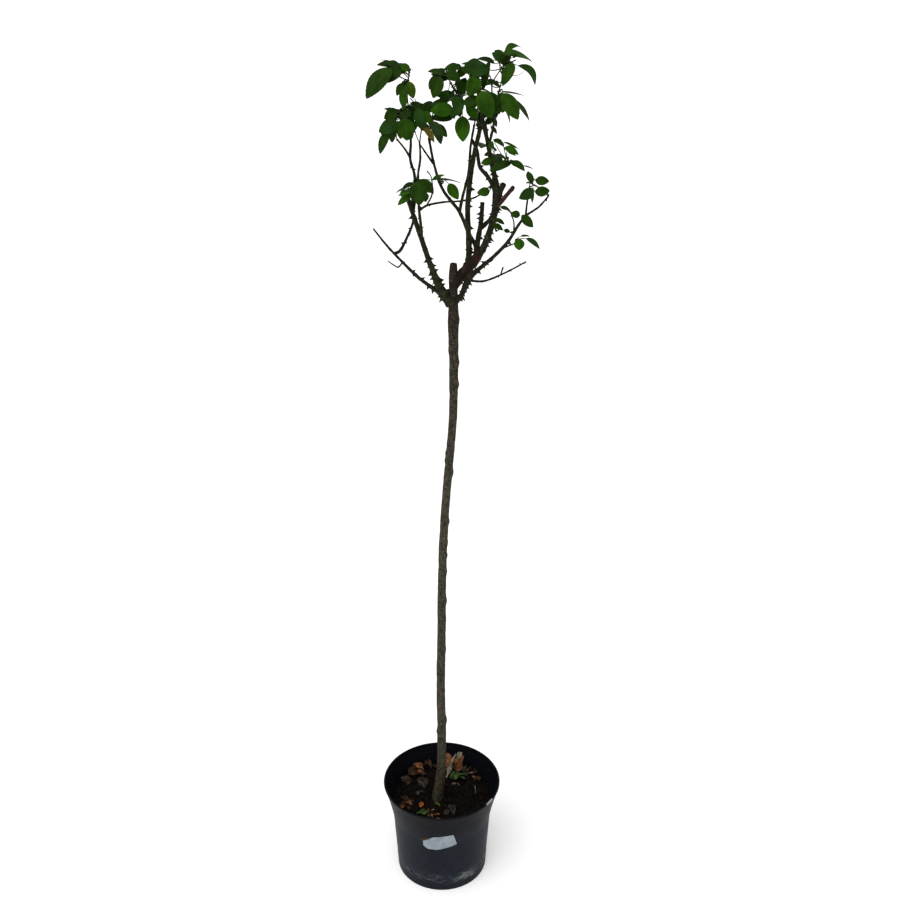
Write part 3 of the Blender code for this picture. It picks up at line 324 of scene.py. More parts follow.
# Smaller leaves that fill the crown, listed by mass like those above.
MORE_LEAVES = {
    "top_right_leaves": [
        Blade(1.00, (90, -36, 1419), (71, -36, 1429), 12, -89, 2),
        Blade(1.00, (88, -22, 1423), (75, -16, 1431), 9, -97, 28),
        Blade(1.00, (79, -16, 1417), (98, -10, 1415), 10, -62, 50),
        Blade(1.00, (99, -40, 1423), (104, -40, 1427), 4, -93, 4),
        Blade(0.45, (86, -58, 1380), (75, -60, 1361), 11, -111, 17),
        Blade(1.00, (95, -14, 1430), (87, -10, 1412), 12, -99, -9),
        Blade(0.96, (100, -40, 1414), (85, -46, 1388), 16, -136, 29),
        Blade(0.09, (71, -36, 1334), (79, -40, 1324), 7, -63, 36),
        Blade(0.09, (72, -36, 1347), (79, -38, 1333), 8, -45, 24),
    ],
    "top_front_leaves": [
        Blade(1.00, (56, -4, 1403), (41, 0, 1395), 10, -104, -2),
        Blade(0.55, (64, -40, 1373), (52, -44, 1359), 11, -86, 13),
        Blade(0.33, (38, -30, 1360), (48, -32, 1343), 10, -87, 9),
        Blade(1.00, (56, -2, 1416), (34, 2, 1409), 12, -116, 37),
        Blade(0.55, (51, -44, 1371), (42, -48, 1354), 10, -109, 21),
    ],
    "top_centre_leaves": [
        Blade(1.00, (1, -32, 1399), (-8, -42, 1371), 17, -85, 18, bow=0.06),
        Blade(0.79, (37, 2, 1394), (29, 6, 1371), 13, -124, 3),
        Blade(0.76, (15, -12, 1370), (-3, -8, 1362), 10, -120, 34),
        Blade(0.64, (25, -14, 1362), (29, -18, 1344), 11, -92, 12),
        Blade(1.00, (22, -4, 1412), (32, 0, 1406), 6, -56, 21),
        Blade(1.00, (38, -10, 1409), (23, -8, 1395), 11, -97, -1),
        Blade(0.96, (12, -14, 1393), (-11, -18, 1401), 13, -63, 45),
        Blade(1.00, (8, -12, 1407), (-11, -14, 1385), 15, -118, 25),
        Blade(1.00, (-3, -26, 1399), (-13, -30, 1381), 11, -114, 23),
        Blade(0.83, (33, -10, 1387), (25, -14, 1373), 9, -102, 22),
    ],
    "mid_left_leaves": [
        Blade(0.71, (-9, -36, 1341), (3, -44, 1311), 17, -63, 22),
        Blade(0.56, (-21, -50, 1335), (-6, -54, 1315), 13, -37, 34),
        Blade(0.90, (-43, 0, 1355), (-34, 2, 1349), 7, -78, -0),
        Blade(0.56, (-5, -6, 1333), (11, -10, 1316), 12, -73, 27),
        Blade(0.60, (-30, 4, 1336), (-39, 8, 1318), 11, -130, 9),
        Blade(1.00, (-11, -12, 1361), (-25, -10, 1342), 12, -95, -2),
        Blade(0.44, (-20, -6, 1329), (-28, -4, 1347), 11, -89, 7),
        Blade(0.94, (-21, -24, 1353), (-11, -28, 1336), 11, -92, 12),
    ],
    "left_leaves": [
        Blade(1.00, (-64, -14, 1351), (-76, -18, 1355), 7, -49, 51),
        Blade(1.00, (-60, -6, 1347), (-73, -10, 1332), 11, -84, 10),
        Blade(1.00, (-38, -34, 1353), (-55, -38, 1345), 10, -89, 25),
        Blade(0.90, (-46, -48, 1342), (-38, -52, 1317), 16, -89, 10),
        Blade(0.90, (-50, -44, 1343), (-53, -46, 1318), 13, -109, 7),
        Blade(1.00, (-43, -22, 1354), (-35, -22, 1338), 10, -86, 2),
        Blade(0.56, (-75, -38, 1332), (-77, -40, 1320), 8, -86, 9),
    ],
    "top_left_leaves": [
        Blade(1.00, (-44, -8, 1409), (-58, -6, 1401), 10, -97, -1),
        Blade(1.00, (-53, -10, 1409), (-75, -8, 1415), 12, -80, 50),
        Blade(0.82, (-48, -14, 1392), (-45, -16, 1377), 11, -88, 8),
        Blade(1.00, (-59, -12, 1410), (-78, -10, 1396), 12, -112, 20),
        Blade(1.00, (-40, -20, 1406), (-53, -16, 1413), 10, -101, 12),
    ],
    "upper_right_leaves": [
        Blade(0.87, (94, -38, 1302), (106, -40, 1295), 7, -68, 42),
    ],
    "low_left_leaves": [
        Blade(0.69, (-21, -44, 1259), (-13, -46, 1249), 8, -90, 11),
    ],
}

# Bare twigs in the crown: mass, diameter and route in mm.
TWIGS = [
    ("top_right_leaves", 2.3, [(72, -44, 1374), (72, -42, 1390), (85, -38, 1411)]),
    ("top_right_leaves", 1.8, [(85, -38, 1409), (74, -40, 1407), (65, -42, 1408)]),
    ("top_right_leaves", 2.0, [(71, -42, 1387), (70, -40, 1397), (67, -38, 1403)]),
    ("top_right_leaves", 1.6, [(72, -42, 1387), (78, -44, 1385), (85, -46, 1388)]),
    ("top_right_leaves", 2.5, [(95, -38, 1416), (99, -38, 1418), (103, -38, 1420)]),
    ("top_right_leaves", 0.9, [(99, -50, 1401), (107, -50, 1402), (115, -50, 1408)]),
    ("mid_left_leaves", 2.2, [(-28, 2, 1347), (-33, 0, 1359), (-40, 0, 1367)]),
    ("mid_left_leaves", 1.8, [(-28, 2, 1349), (-31, 2, 1359), (-34, 4, 1366)]),
    ("top_left_leaves", 2.6, [(-42, -14, 1409), (-41, -14, 1400), (-43, -16, 1390)]),
    ("top_left_leaves", 2.2, [(-60, -14, 1399), (-52, -15, 1396), (-44, -16, 1392)]),
    ("top_left_leaves", 2.2, [(-55, -12, 1403), (-48, -13, 1401), (-43, -14, 1396)]),
]

# How finely the visible wood is cut into faces, and how many rings round its ends.
BARK_STEP = 0.0016
BARK_SIDES = 44
CANE_STEP = 0.0022
ARM_SIDES = 30
LEAF_WOOD_STEP = 0.003
ROUND_TIP_STEPS = 4
STUB_STEPS = 6

# How deep its rounded ends are, as shares of their radius.
ROUND_ROOT = 0.5
ROUND_TIP = 0.8
SAWN_TIP = 0.30
STUB_TIP = 0.42


# ---------------------------------------------------------------- routes, as in the part
def mix(first, second, share):
    return first * (1.0 - share) + second * share


def smooth_route(points, step):
    """Points about a step apart on a smooth curve through points given in millimetres."""
    through = [Vector(point) * MM for point in points]
    if len(through) == 2:
        return through
    before = through[0] * 2 - through[1]
    after = through[-1] * 2 - through[-2]
    through = [before] + through + [after]
    route = []
    for index in range(1, len(through) - 2):
        a, b, c, d = through[index - 1:index + 3]
        t_b = math.sqrt((b - a).length)
        t_c = t_b + math.sqrt((c - b).length)
        t_d = t_c + math.sqrt((d - c).length)
        pieces = max(1, round((c - b).length / step))
        for piece in range(pieces):
            t = t_b + (t_c - t_b) * piece / pieces
            ab = mix(a, b, t / t_b)
            bc = mix(b, c, (t - t_b) / (t_c - t_b))
            cd = mix(c, d, (t - t_c) / (t_d - t_c))
            abc = mix(ab, bc, t / t_c)
            bcd = mix(bc, cd, (t - t_b) / (t_d - t_b))
            route.append(mix(abc, bcd, (t - t_b) / (t_c - t_b)))
    route.append(through[-2])
    return route


def travelled(route):
    """How far along the route each of its points lies."""
    distances = [0.0]
    for first, second in zip(route, route[1:]):
        distances.append(distances[-1] + (second - first).length)
    return distances


def along(route, share):
    """The point at a share of the route's length, and the route's direction there."""
    distances = travelled(route)
    target = share * distances[-1]
    for index in range(len(route) - 1):
        if target <= distances[index + 1] or index == len(route) - 2:
            span = distances[index + 1] - distances[index]
            part = min(1.0, (target - distances[index]) / span)
            step = route[index + 1] - route[index]
            return route[index] + step * part, step.normalized()


def squared(normal, heading):
    """The part of a facing that is square to the heading."""
    return (normal - heading * normal.dot(heading)).normalized()


def limb_surface(route, radii, sides, relief=None, first_axis=None):
    """Rings that turn with a route and don't twist, each point raised by a relief.

    Gives the points, the limb's direction at each of them and the faces, with both ends closed.
    """
    points = []
    ways = []
    axis = (first_axis or route[1] - route[0]).normalized()
    side = Vector((0, -1, 0)) if abs(axis.y) < 0.9 else Vector((1, 0, 0))
    for index, (centre, distance) in enumerate(zip(route, travelled(route))):
        if index:
            axis = (route[min(index + 1, len(route) - 1)] - route[index - 1]).normalized()
        side = squared(side, axis)
        across = axis.cross(side)
        radius = radii[index]
        for corner in range(sides):
            turn = 2 * math.pi * corner / sides
            out = side * math.cos(turn) + across * math.sin(turn)
            raised = relief(centre + out * radius, distance, turn, radius) if relief else 0.0
            points.append(centre + out * (radius + raised))
            ways.append(tuple(axis))
    return points, ways, tube_faces(len(route), sides)


def tube(route, radii, sides, first_axis=None):
    """The points and faces of a smooth closed limb."""
    points, _, faces = limb_surface(route, radii, sides, first_axis=first_axis)
    return points, faces


def tube_faces(rings, sides):
    """The faces of a tube with closed ends."""
    faces = []
    for ring in range(rings - 1):
        for corner in range(sides):
            low = ring * sides + corner
            low_next = ring * sides + (corner + 1) % sides
            faces.append((low, low_next, low_next + sides, low + sides))
    faces.append(tuple(reversed(range(sides))))
    faces.append(tuple(range((rings - 1) * sides, rings * sides)))
    return faces


def trunk_radius_at(distance, marks):
    """The trunk's radius at a distance from its foot, between the stated diameters."""
    for index in range(len(marks) - 1):
        if distance <= marks[index + 1] or index == len(marks) - 2:
            part = min(1.0, (distance - marks[index]) / (marks[index + 1] - marks[index]))
            low, high = TRUNK["diameters"][index:index + 2]
            return (low + (high - low) * part) * MM / 2


def trunk_limb(step):
    route = smooth_route(TRUNK["route"], step)
    marks = travelled([Vector(point) * MM for point in TRUNK["route"]])
    distances = travelled(route)
    stretch = marks[-1] / distances[-1]
    return route, [trunk_radius_at(distance * stretch, marks) for distance in distances]


def limb(size, step):
    """The route and radii of a limb that tapers evenly from its collar to its tip."""
    _, root_diameter, tip_diameter, collar, _, points = size
    route = smooth_route(points, step)
    distances = travelled(route)
    radii = []
    for distance in distances:
        plain = root_diameter + (tip_diameter - root_diameter) * distance / distances[-1]
        radii.append((plain + collar * math.exp(-distance / COLLAR_LENGTH)) * MM / 2)
    return route, radii


# ---------------------------------------------------------------- leaves, by the part's rule
def body_tree(shape):
    return BVHTree.FromPolygons([tuple(point) for point in shape[0]], shape[1])


def is_clear(shape, trees):
    own = body_tree(shape)
    return not any(own.overlap(tree) for tree in trees)


def plain_leaflet(root, heading, normal, length, half, thickness, bow):
    """The part's plain leaflet, which tests whether there is room for a real one."""
    across = heading.cross(normal).normalized()
    sections = [(0.0, LEAFLET_STALK_HALF), (0.30, half * 0.94), (0.66, half * 0.86)]
    points = []
    for share, reach in sections:
        centre = root + heading * length * share + normal * length * bow * 4 * share * (1 - share)
        lift = normal * reach * math.sin(LEAFLET_FOLD)
        edge = across * reach * math.cos(LEAFLET_FOLD)
        points += [centre - edge + lift, centre + normal * thickness / 2,
                   centre + edge + lift, centre - normal * thickness / 2]
    points.append(root + heading * length)
    faces = [(0, 1, 2, 3)]
    for first in (0, 4):
        for corner in range(4):
            following = (corner + 1) % 4
            faces.append((first + corner, first + 4 + corner, first + 4 + following,
                          first + following))
    for corner in range(4):
        faces.append((8 + corner, 12, 8 + (corner + 1) % 4))
    return points, faces


def facing_to(azimuth, elevation):
    azimuth, elevation = math.radians(azimuth), math.radians(elevation)
    flat = Vector((math.cos(azimuth), math.sin(azimuth), 0))
    return flat * math.cos(elevation) + UP * math.sin(elevation)


def single_leaf(root, leaf, chance):
    """The stalk's route and the one leaflet that it comes in along."""
    base = Vector(leaf.base) * MM
    along_leaf = Vector(leaf.tip) * MM - base
    heading = along_leaf.normalized()
    reach = (base - root).length
    facing = facing_to(leaf.azimuth + chance.uniform(-6, 6), leaf.elevation + chance.uniform(-5, 5))
    rise = UP * reach * STALK_ARCH * chance.uniform(0.6, 1.4)
    middle = mix(root, base, 0.5) - heading * reach * STALK_SWEEP + rise
    normal = squared(facing, heading)
    leaflet_size = (along_leaf.length, leaf.width * MM / 2, leaf.bow)
    return [root, middle, base], [(base, heading, normal, *leaflet_size)]


def compound_leaf(root, leaf, chance):
    """The stalk's route and each leaflet's root, heading, face, length, half width and bow."""
    tip = Vector(leaf.tip) * MM
    length = leaf.length * MM
    facing = facing_to(leaf.azimuth + chance.uniform(-12, 12), leaf.elevation + chance.uniform(-8, 8))
    reach = tip - root
    last = min(length / reach.length, 0.85)
    rise = UP * reach.length * leaf.arch * chance.uniform(0.6, 1.4)
    end = root + reach * (1 - last) + rise
    middle = mix(root, end, 0.5) + rise * 0.6
    stalk = [root, mix(mix(root, middle, 0.5), mix(middle, end, 0.5), 0.5), end]
    heading = (tip - end).normalized()
    sizes = [(end, heading, squared(facing, heading), (tip - end).length)]
    stalk_length = travelled(stalk)[-1]
    for pair in range((leaf.leaflets - 1) // 2):
        back = min(length * (0.14 + PAIR_SPACING * pair), stalk_length * (0.25 + 0.4 * pair))
        place, forward = along(stalk, 1 - back / stalk_length)
        normal = squared(facing, forward)
        across = forward.cross(normal)
        size = length * (PAIR_SIZE - PAIR_SIZE_STEP * pair)
        for side in (-1, 1):
            angle = PAIR_ANGLE + math.radians(chance.uniform(-10, 10))
            heading = forward * math.cos(angle) + across * side * math.sin(angle)
            heading = (heading - normal * chance.uniform(0.0, 0.30)).normalized()
            roll = normal + across * chance.uniform(-0.30, 0.30)
            real = size * chance.uniform(0.90, 1.08)
            sizes.append((place, heading, squared(roll, heading), real))
    return stalk, [(*size, size[3] * LEAFLET_WIDTH / 2, LEAFLET_BOW) for size in sizes]


def grown_leaf(root, leaf, chance, others, own_wood, own_blades, clearance):
    """A leaf's stalk and its free leaflets, from the first try that touches nothing.

    Leaves that need no clearance are packed in as they come.
    """
    for _ in range(LEAF_TRIES):
        grow = single_leaf if isinstance(leaf, Blade) else compound_leaf
        stalk, leaflets = grow(root, leaf, chance)
        if not clearance:
            return stalk, leaflets
        room = STALK_RADIUS + clearance
        first = stalk[1] - stalk[0]
        outside = stalk[0] + first * min(0.4, STEM_REACH / first.length)
        test = tube([outside, stalk[1], stalk[2]], [room] * 3, TWIG_SIDES)
        free_stalk = is_clear(test, others + own_blades)
        free = []
        for place, heading, normal, length, half, bow in leaflets:
            start = place + heading * length * 0.1
            test = plain_leaflet(start, heading, normal, length * 0.92, half + clearance,
                                 2 * clearance, bow)
            free.append(is_clear(test, others + own_wood + own_blades))
        if free_stalk and all(free):
            break
    kept = [leaflet for leaflet, is_free in zip(leaflets, free) if is_free and free_stalk]
    return stalk, kept


def stem_shape(bough_shape, share, points):
    """The stem's route from its bough's tip or side, its radii and its first direction."""
    route, radii = bough_shape
    first = Vector(points[0]) * MM
    if share == 1.0:
        direction = (route[-1] - route[-2]).normalized()
        start = route[-1] + direction * GAP
        root_radius = radii[-1]
    else:
        foot, axis = along(route, share)
        direction = squared(first - foot, axis)
        place = share * (len(radii) - 1)
        start = foot + direction * (radii[int(place)] + 2 * GAP)
        root_radius = STEM_RADIUS
    stem = smooth_route([tuple(start / MM)] + points, LIMB_STEP)
    last = len(stem) - 1
    radius = min(root_radius, STEM_RADIUS)
    narrowing = [radius * (1 - STEM_TAPER * index / last) for index in range(1, last + 1)]
    return stem, [root_radius] + narrowing, direction


def bare_limbs():
    """The route and radii of every limb, and their surfaces to keep clear of."""
    limbs = {name: limb(size, LIMB_STEP) for name, size in LIMBS.items()}
    limbs["trunk"] = trunk_limb(TRUNK_STEP)
    shapes = [tube(*limbs["trunk"], TRUNK_SIDES)]
    shapes += [tube(*limbs[name], size[4]) for name, size in LIMBS.items()]
    return limbs, [body_tree(shape) for shape in shapes]


def grow_masses():
    """Every leaf of every mass: (mass, leaf, stalk, leaflets), and each mass's stem."""
    limbs, trees = bare_limbs()
    stems = {}
    taken = {}
    for name, (bough, share, points, _) in MASSES.items():
        route, radii, direction = stem_shape(limbs[bough], share, points)
        stems[name] = (route, radii)
        taken[name] = [body_tree(tube(route, radii, STEM_SIDES, first_axis=direction))]
    grown = []
    rows = [(name, mass[3]) for name, mass in MASSES.items()] + list(MORE_LEAVES.items())
    for seed, (name, leaves) in enumerate(rows):
        chance = random.Random(seed)
        others = trees + [tree for key in taken if key != name for tree in taken[key]]
        clearance = LEAF_CLEARANCE
        if seed >= len(MASSES):
            others += taken[name][1:]
            clearance = 0.0
        wood, blades = taken[name][:1], []
        for leaf in leaves:
            root, _ = along(stems[name][0], leaf.at)
            stalk, kept = grown_leaf(root, leaf, chance, others, wood, blades, clearance)
            if not kept:
                continue
            grown.append((name, leaf, stalk, kept))
            radii = [STALK_RADIUS, STALK_RADIUS, STALK_TIP_RADIUS]
            wood.append(body_tree(tube(stalk, radii, TWIG_SIDES)))
            for place, heading, normal, length, half, bow in kept:
                thickness = max(0.0006, length * 0.016)
                blades.append(body_tree(plain_leaflet(place, heading, normal, length, half,
                                                      thickness, bow)))
        taken[name] = taken[name] + wood[1:] + blades
    return grown, stems


# ---------------------------------------------------------------- node trees
class Link:
    """A socket of a node tree that Python's operators work on."""

    def __init__(self, tree, socket):
        self.tree = tree
        self.socket = socket

    def __add__(self, other):
        return self.tree.maths("ADD", self, other)

    def __sub__(self, other):
        return self.tree.maths("SUBTRACT", self, other)

    def __rsub__(self, other):
        return self.tree.maths("SUBTRACT", other, self)

    def __mul__(self, other):
        return self.tree.maths("MULTIPLY", self, other)

    __radd__ = __add__
    __rmul__ = __mul__


class Tree:
    """A node tree that is being written."""

    def __init__(self, tree):
        self.tree = tree

    def node(self, kind, settings=(), values=(), output=0):
        """A node of a type, with its settings made first and then its sockets set or linked."""
        made = self.tree.nodes.new(kind)
        for key, value in dict(settings).items():
            setattr(made, key, value)
        for key, value in dict(values).items():
            if isinstance(value, Link):
                self.tree.links.new(value.socket, made.inputs[key])
            else:
                made.inputs[key].default_value = value
        return Link(self, made.outputs[output])

    def maths(self, operation, first, second=0.0):
        return self.node("ShaderNodeMath", {"operation": operation}, {0: first, 1: second})


class Finish(Tree):
    """A material: patterns on Object coordinates that feed a Principled shader."""

    def __init__(self, name, specular=0.3):
        self.material = bpy.data.materials.new(name)
        self.material.use_nodes = True
        super().__init__(self.material.node_tree)
        self.shader = self.tree.nodes["Principled BSDF"]
        self.shader.inputs["Specular IOR Level"].default_value = specular
        self.place = self.node("ShaderNodeTexCoord", output="Object")

    def noise(self, size, detail=3.0, stretch=(1, 1, 1)):
        """Noise whose lumps are about a size across, drawn out along an axis by a stretch."""
        scale = [1 / (size * part) for part in stretch]
        place = self.node("ShaderNodeMapping", values={"Vector": self.place, "Scale": scale})
        values = {"Vector": place, "Scale": 1.0, "Detail": detail, "Roughness": 0.6}
        return self.node("ShaderNodeTexNoise", values=values)

    def mark(self, name, part):
        """One part of a vector that is kept at the mesh's points."""
        vector = self.node("ShaderNodeAttribute", {"attribute_name": name}, output="Vector")
        return self.node("ShaderNodeSeparateXYZ", values={0: vector}, output=part)

    def coordinate(self, axis):
        return self.node("ShaderNodeSeparateXYZ", values={0: self.place}, output=axis)

    def distance(self, point):
        values = {0: self.place, 1: point}
        return self.node("ShaderNodeVectorMath", {"operation": "DISTANCE"}, values, "Value")

    def ease(self, value, low, high):
        """0 below low, 1 above high and smooth between them."""
        values = {"Value": value, "From Min": low, "From Max": high}
        return self.node("ShaderNodeMapRange", {"interpolation_type": "SMOOTHSTEP"}, values)

    def blend(self, share, first, second):
        values = {0: share, 6: tinted(first), 7: tinted(second)}
        return self.node("ShaderNodeMix", {"data_type": "RGBA"}, values, 2)

    def coat(self, under, pattern, low, high, hue, share=1.0):
        """A hue laid over another colour where a pattern goes from low to high."""
        mask = self.ease(pattern, low, high)
        return self.blend(mask if share == 1.0 else mask * share, under, hue)

    def bump(self, height, depth):
        values = {"Height": height, "Distance": depth, "Strength": 1.0}
        return self.node("ShaderNodeBump", values=values)

    def done(self, colour, roughness, normal=None):
        """Feeds the shader with values or links and gives back the material."""
        for name, value in {"Base Color": tinted(colour), "Roughness": roughness,
                            "Normal": normal}.items():
            if isinstance(value, Link):
                self.tree.links.new(value.socket, self.shader.inputs[name])
            elif value is not None:
                self.shader.inputs[name].default_value = value
        return self.material


def tinted(colour):
    return (*colour, 1.0) if isinstance(colour, tuple) and len(colour) == 3 else colour


def linear(value):
    value = value / 255
    return value / 12.92 if value <= 0.04045 else ((value + 0.055) / 1.055) ** 2.4


def rgb(red, green, blue):
    """A display colour, 0 to 255, as the linear colour that shaders use."""
    return linear(red), linear(green), linear(blue)


def shade(colour, factor):
    return tuple(part * factor for part in colour)


# ---------------------------------------------------------------- finishes
def trunk_finish():
    """Old grey-brown bark: dark fissures and pits, pale flakes, greener at the foot."""
    paint = Finish("old_bark", specular=0.06)
    height = paint.coordinate("Z")
    strands = paint.noise(0.0015, 4, stretch=(1, 1, 4))
    blotches = paint.noise(0.0060, 5, stretch=(1, 1, 1.5))
    flakes = paint.noise(0.0017, 3)
    pits = paint.noise(0.0022, 3, stretch=(1, 1, 0.6))
    crown_end = paint.ease(height, 0.70, 1.06)
    base = paint.blend(crown_end, rgb(56, 54, 45), rgb(40, 31, 26))
    base = paint.coat(base, height, 0.30, 0.14, rgb(52, 44, 28))
    worn = paint.ease(blotches, 0.42, 0.62) * (1 - paint.ease(height, 0.98, 1.05) * 0.75)
    colour = paint.blend(worn * 0.8, base, rgb(72, 68, 56))
    colour = paint.coat(colour, blotches, 0.46, 0.36, rgb(46, 50, 52), 0.6)
    colour = paint.coat(colour, strands, 0.50, 0.36, rgb(20, 16, 11))
    colour = paint.coat(colour, pits, 0.42, 0.34, rgb(22, 17, 12), 0.8)
    colour = paint.coat(colour, flakes, 0.58, 0.66, rgb(116, 108, 88), 0.75)
    relief = strands * 0.7 + flakes * 0.3
    return paint.done(colour, 0.86, paint.bump(relief, 0.0005))


def cane_finish(name, low, high, fleck, patch=None):
    """Smooth cane bark: two hues by height, mottled, with fine flecks and a patch of its own.

    Limbs whose tone is high are greener than the rest.
    """
    paint = Finish(name, specular=0.08)
    tone = paint.node("ShaderNodeAttribute", {"attribute_name": "tone"}, output="Fac")
    mottle = paint.noise(0.009, 4)
    fine = paint.noise(0.0018, 3)
    rise = paint.ease(paint.coordinate("Z") + mottle * 0.08, 1.13, 1.33)
    colour = paint.blend(rise, low, high)
    colour = paint.blend(tone * paint.ease(mottle, 0.30, 0.62), colour, rgb(42, 50, 18))
    colour = paint.coat(colour, mottle, 0.54, 0.70, fleck, 0.7)
    colour = paint.coat(colour, mottle, 0.46, 0.34, shade(low, 0.40), 0.7)
    colour = paint.coat(colour, fine, 0.56, 0.40, shade(low, 0.30), 0.6)
    if patch:
        place, size, hue = patch
        away = paint.distance(place) + fine * 0.012 + mottle * 0.008
        near = 1 - paint.ease(away, size * 0.8, size * 1.7)
        colour = paint.blend(near * paint.ease(fine, 0.34, 0.50) * 0.8, colour, hue)
    return paint.done(colour, 0.62, paint.bump(fine, 0.00025))


def leaf_finish(name, colour):
    """One plain hue, faintly mottled, with a paler rib and side veins that run to the teeth."""
    paint = Finish("leaf_" + name, specular=0.03)
    across = paint.maths("ABSOLUTE", paint.mark("blade", 0))
    forward = paint.mark("blade", 1)
    cloud = paint.noise(0.016, 3)
    fine = paint.noise(0.0022, 2)
    rib = 1 - paint.ease(across, 0.03, 0.11)
    wave = paint.maths("PINGPONG", forward * VEINS - across * 1.7, 0.5)
    vein = (1 - paint.ease(wave, 0.03, 0.13)) * paint.ease(across, 0.98, 0.60)
    hue = paint.blend(paint.ease(cloud, 0.30, 0.72), shade(colour, 0.68), shade(colour, 1.26))
    pale = shade(colour, 1.9)
    hue = paint.blend(rib * 0.22 + vein * 0.11, hue, (pale[0] * 1.1, pale[1], pale[2] * 1.3))
    relief = fine * 0.2 - vein * 0.6 - rib
    return paint.done(hue, 0.46, paint.bump(relief, 0.00022))


def plastic_finish():
    """Dull blue-black plastic: dust, scuffs that gather at the foot, fine scratches and painted shade on
    the flared collar.
    """
    paint = Finish("pot_plastic", specular=0.055)
    height = paint.coordinate("Z")
    dust = paint.noise(0.030, 5)
    grain = paint.noise(0.0011, 2)
    streaks = paint.noise(0.0050, 5, stretch=(2.4, 2.4, 0.8))
    specks = paint.noise(0.0040, 4)
    waver = paint.noise(0.045, 2)
    colour = paint.blend(paint.ease(dust, 0.35, 0.70), rgb(20, 23, 31), rgb(27, 31, 39))
    # Painted shade: the flared collar, from 115 mm up to the rim, is darkened.
    colour = paint.coat(colour, height, 0.115, 0.154, rgb(9, 10, 14), 0.95)
    motes = paint.noise(0.0021, 3)
    colour = paint.coat(colour, motes, 0.60, 0.72, rgb(74, 79, 88), 0.28)
    colour = paint.coat(colour, motes, 0.40, 0.30, rgb(10, 11, 15), 0.6)
    band_height = height + waver * 0.014
    foot = paint.ease(band_height, 0.020, 0.030) * paint.ease(band_height, 0.052, 0.032)
    scuff = foot * paint.ease(streaks, 0.46, 0.66)
    colour = paint.blend(scuff * 0.55, colour, rgb(84, 92, 96))
    right = 1 - paint.ease(paint.distance(SCUFF_PLACE) + specks * 0.030, 0.020, 0.042)
    colour = paint.blend(right * foot * paint.ease(streaks, 0.38, 0.60) * 0.8, colour,
                         rgb(108, 113, 112))
    chips = paint.ease(specks, 0.70, 0.76) * (1 - paint.ease(height, 0.05, 0.15) * 0.6)
    colour = paint.blend(chips * 0.4, colour, rgb(96, 99, 102))
    scratch = 1 - paint.ease(paint.distance(SCRATCH_PLACE), 0.007, 0.0115)
    scratch = scratch * paint.ease(height, POT_HEIGHT - 0.0045, POT_HEIGHT - 0.0030)
    colour = paint.blend(scratch * paint.ease(specks, 0.34, 0.50), colour, rgb(140, 145, 150))
    relief = grain * 0.4 + streaks * scuff
    return paint.done(colour, paint.ease(dust, 0.1, 0.9) * 0.16 + 0.40,
                      paint.bump(relief, 0.00012))


def compost_finish():
    paint = Finish("compost", specular=0.04)
    lumps = paint.noise(0.007, 5)
    fibres = paint.noise(0.0022, 3, stretch=(3, 1, 1))
    colour = paint.blend(paint.ease(lumps, 0.38, 0.66), rgb(7, 6, 6), rgb(22, 16, 13))
    colour = paint.coat(colour, fibres, 0.62, 0.74, rgb(52, 36, 24), 0.6)
    return paint.done(colour, 0.92, paint.bump(lumps * 0.6 + fibres * 0.4, 0.0012))


def litter_finish(name, light, dark):
    """Dry leaves, strips and crumbs: two hues in blotches and fine fibres."""
    paint = Finish(name, specular=0.06)
    blotch = paint.noise(0.008, 5)
    fibre = paint.noise(0.004, 4, stretch=(1, 2, 1))
    colour = paint.coat(dark, blotch, 0.38, 0.64, light)
    colour = paint.coat(colour, fibre, 0.52, 0.66, shade(dark, 0.45), 0.8)
    return paint.done(colour, 0.75, paint.bump(blotch * 0.5 + fibre * 0.5, 0.0004))


def paper_finish():
    """A blank weathered sticker, with dirt in flecks over it."""
    paint = Finish("sticker", specular=0.08)
    cloud = paint.noise(0.012, 4)
    grime = paint.noise(0.0028, 4)
    colour = paint.blend(paint.ease(cloud, 0.35, 0.68), rgb(124, 133, 141), rgb(144, 152, 159))
    colour = paint.coat(colour, grime, 0.62, 0.74, rgb(92, 96, 98), 0.45)
    return paint.done(colour, 0.6, paint.bump(grime, 0.0001))


def floor_finish():
    paint = Finish("studio_floor", specular=0.0)
    paint.shader.inputs["IOR"].default_value = 1.0
    paint.shader.inputs["Emission Color"].default_value = (1.0, 1.0, 1.0, 1.0)
    paint.shader.inputs["Emission Strength"].default_value = 0.16
    wash = paint.noise(0.8, 2)
    return paint.done(paint.blend(wash, (0.93, 0.93, 0.93), (0.95, 0.95, 0.95)), 0.9)


# ---------------------------------------------------------------- meshes
class Shape:
    """Points and faces gathered into one mesh, with named values at its points."""

    def __init__(self):
        self.points = []
        self.faces = []
        self.marks = {}
        self.creases = set()

    def add(self, points, faces, creases=(), **marks):
        start = len(self.points)
        self.points += [tuple(point) for point in points]
        self.faces += [tuple(start + corner for corner in face) for face in faces]
        self.creases |= {(start + low, start + high) for low, high in creases}
        for key, values in marks.items():
            self.marks.setdefault(key, []).extend(values)

    def made(self, name, material):
        """The mesh object of what was gathered, smooth but for its creases."""
        mesh = bpy.data.meshes.new(name)
        mesh.from_pydata(self.points, [], self.faces)
        for key, values in self.marks.items():
            if isinstance(values[0], float):
                layer = mesh.attributes.new(key, "FLOAT", "POINT")
                layer.data.foreach_set("value", values)
            else:
                layer = mesh.attributes.new(key, "FLOAT_VECTOR", "POINT")
                layer.data.foreach_set("vector", [part for value in values for part in value])
        mesh.shade_smooth()
        for edge in mesh.edges:
            edge.use_edge_sharp = tuple(sorted(edge.vertices)) in self.creases
        mesh.materials.append(material)
        return linked(name, mesh)


def linked(name, mesh):
    item = bpy.data.objects.new(name, mesh)
    bpy.context.scene.collection.objects.link(item)
    return item


